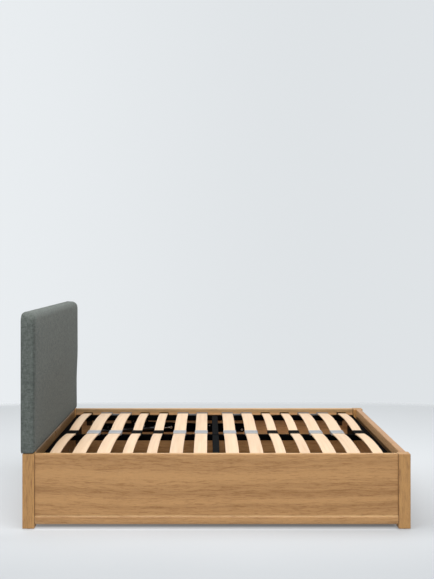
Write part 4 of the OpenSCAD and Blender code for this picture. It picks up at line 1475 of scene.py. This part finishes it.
@dataclass
class Studio:
    """Camera, floor, backdrop and soft light."""

    lens: float = 55.44
    sensor: float = 36.0
    shift: tuple[float, float] = (0.01504, -0.0409)
    camera_at: Point = (-0.0396, -5.648, 1.4354)
    floor_half: float = 3.85
    dome: float = 0.55
    left: Colour = (0.823, 0.855, 0.879)
    right: Colour = (0.738, 0.769, 0.792)

    def build(self) -> None:
        """Sets the camera, the floor, the backdrop and the lamps."""
        self.camera()
        self.floor()
        self.backdrop()
        self.lamp("overhead_lamp", (0.0, -0.6, 4.2), (0.0, 0.0, 0.0), (4.5, 4.5), 190.0)
        self.lamp("front_lamp", (0.3, -7.6, 2.8), (0.0, 0.0, 0.5), (4.5, 3.0), 150.0)
        bpy.context.scene.view_settings.view_transform = "Standard"

    def camera(self) -> None:
        """The photograph's view: level, from the bed's right side."""
        data = bpy.data.cameras.new("camera")
        data.sensor_fit, data.sensor_width, data.sensor_height = "AUTO", self.sensor, self.sensor
        data.lens = self.lens
        data.shift_x, data.shift_y = self.shift
        cam = placed("camera", data)
        cam.location = self.camera_at
        cam.rotation_euler = (math.pi / 2, 0.0, 0.0)
        bpy.context.scene.camera = cam

    def floor(self) -> None:
        """A pale floor with soft edges."""
        bm = bmesh.new()
        bmesh.ops.create_grid(bm, x_segments=8, y_segments=8, size=self.floor_half)
        mesh = bpy.data.meshes.new("studio_floor")
        bm.to_mesh(mesh)
        bm.free()
        mesh.materials.append(StudioFloor().material())
        placed("studio_floor", mesh)

    def backdrop(self) -> None:
        """The world: even light on the object, and the pale backdrop where the camera sees it."""
        s = Shader("studio", world=True)
        bpy.context.scene.world = s.owner
        ray = s.value("ShaderNodeTexCoord", out="Generated")
        colour = s.mix(s.split(ray)[0].band(-0.3, 0.15), self.left, self.right)
        light = s.node("ShaderNodeBackground", None, {"Color": (1.0, 1.0, 1.0), "Strength": self.dome})
        seen = s.node("ShaderNodeBackground", None, {"Color": colour, "Strength": 1.0})
        path = s.node("ShaderNodeLightPath").outputs
        kinds = ("Is Camera Ray", "Is Glossy Ray", "Is Transmission Ray")
        direct, glossy, through = (Val(s, path[kind]) for kind in kinds)
        shown = direct.or_larger(glossy.or_larger(through))
        mixed = s.node("ShaderNodeMixShader", None, {0: shown, 1: light.outputs[0], 2: seen.outputs[0]})
        s.node("ShaderNodeOutputWorld", None, {"Surface": mixed.outputs[0]})

    def lamp(self, name: str, place: Point, target: Point, size: tuple[float, float], power: float) -> None:
        """Adds a large soft lamp that the camera doesn't see.

        Args:
            name: Its name.
            place: Where it hangs.
            target: What it points at.
            size: Its width and height.
            power: Its power in watts.
        """
        data = bpy.data.lights.new(name, "AREA")
        data.shape, data.size, data.size_y, data.energy = "RECTANGLE", size[0], size[1], power
        obj = placed(name, data)
        obj.location = place
        obj.rotation_euler = (Vector(target) - Vector(place)).to_track_quat("-Z", "Y").to_euler()
        obj.visible_camera = False


def main() -> None:
    """Builds and dresses every sub-assembly in order."""
    logging.basicConfig(level=logging.INFO, format="%(message)s")
    Studio().build()
    for part in (OakFrame(), StorageBase(), Platform(), Slats(), Lift(), Headboard()):
        LOG.info("building %s", type(part).__name__)
        part.build()


if __name__ == "__main__":
    main()
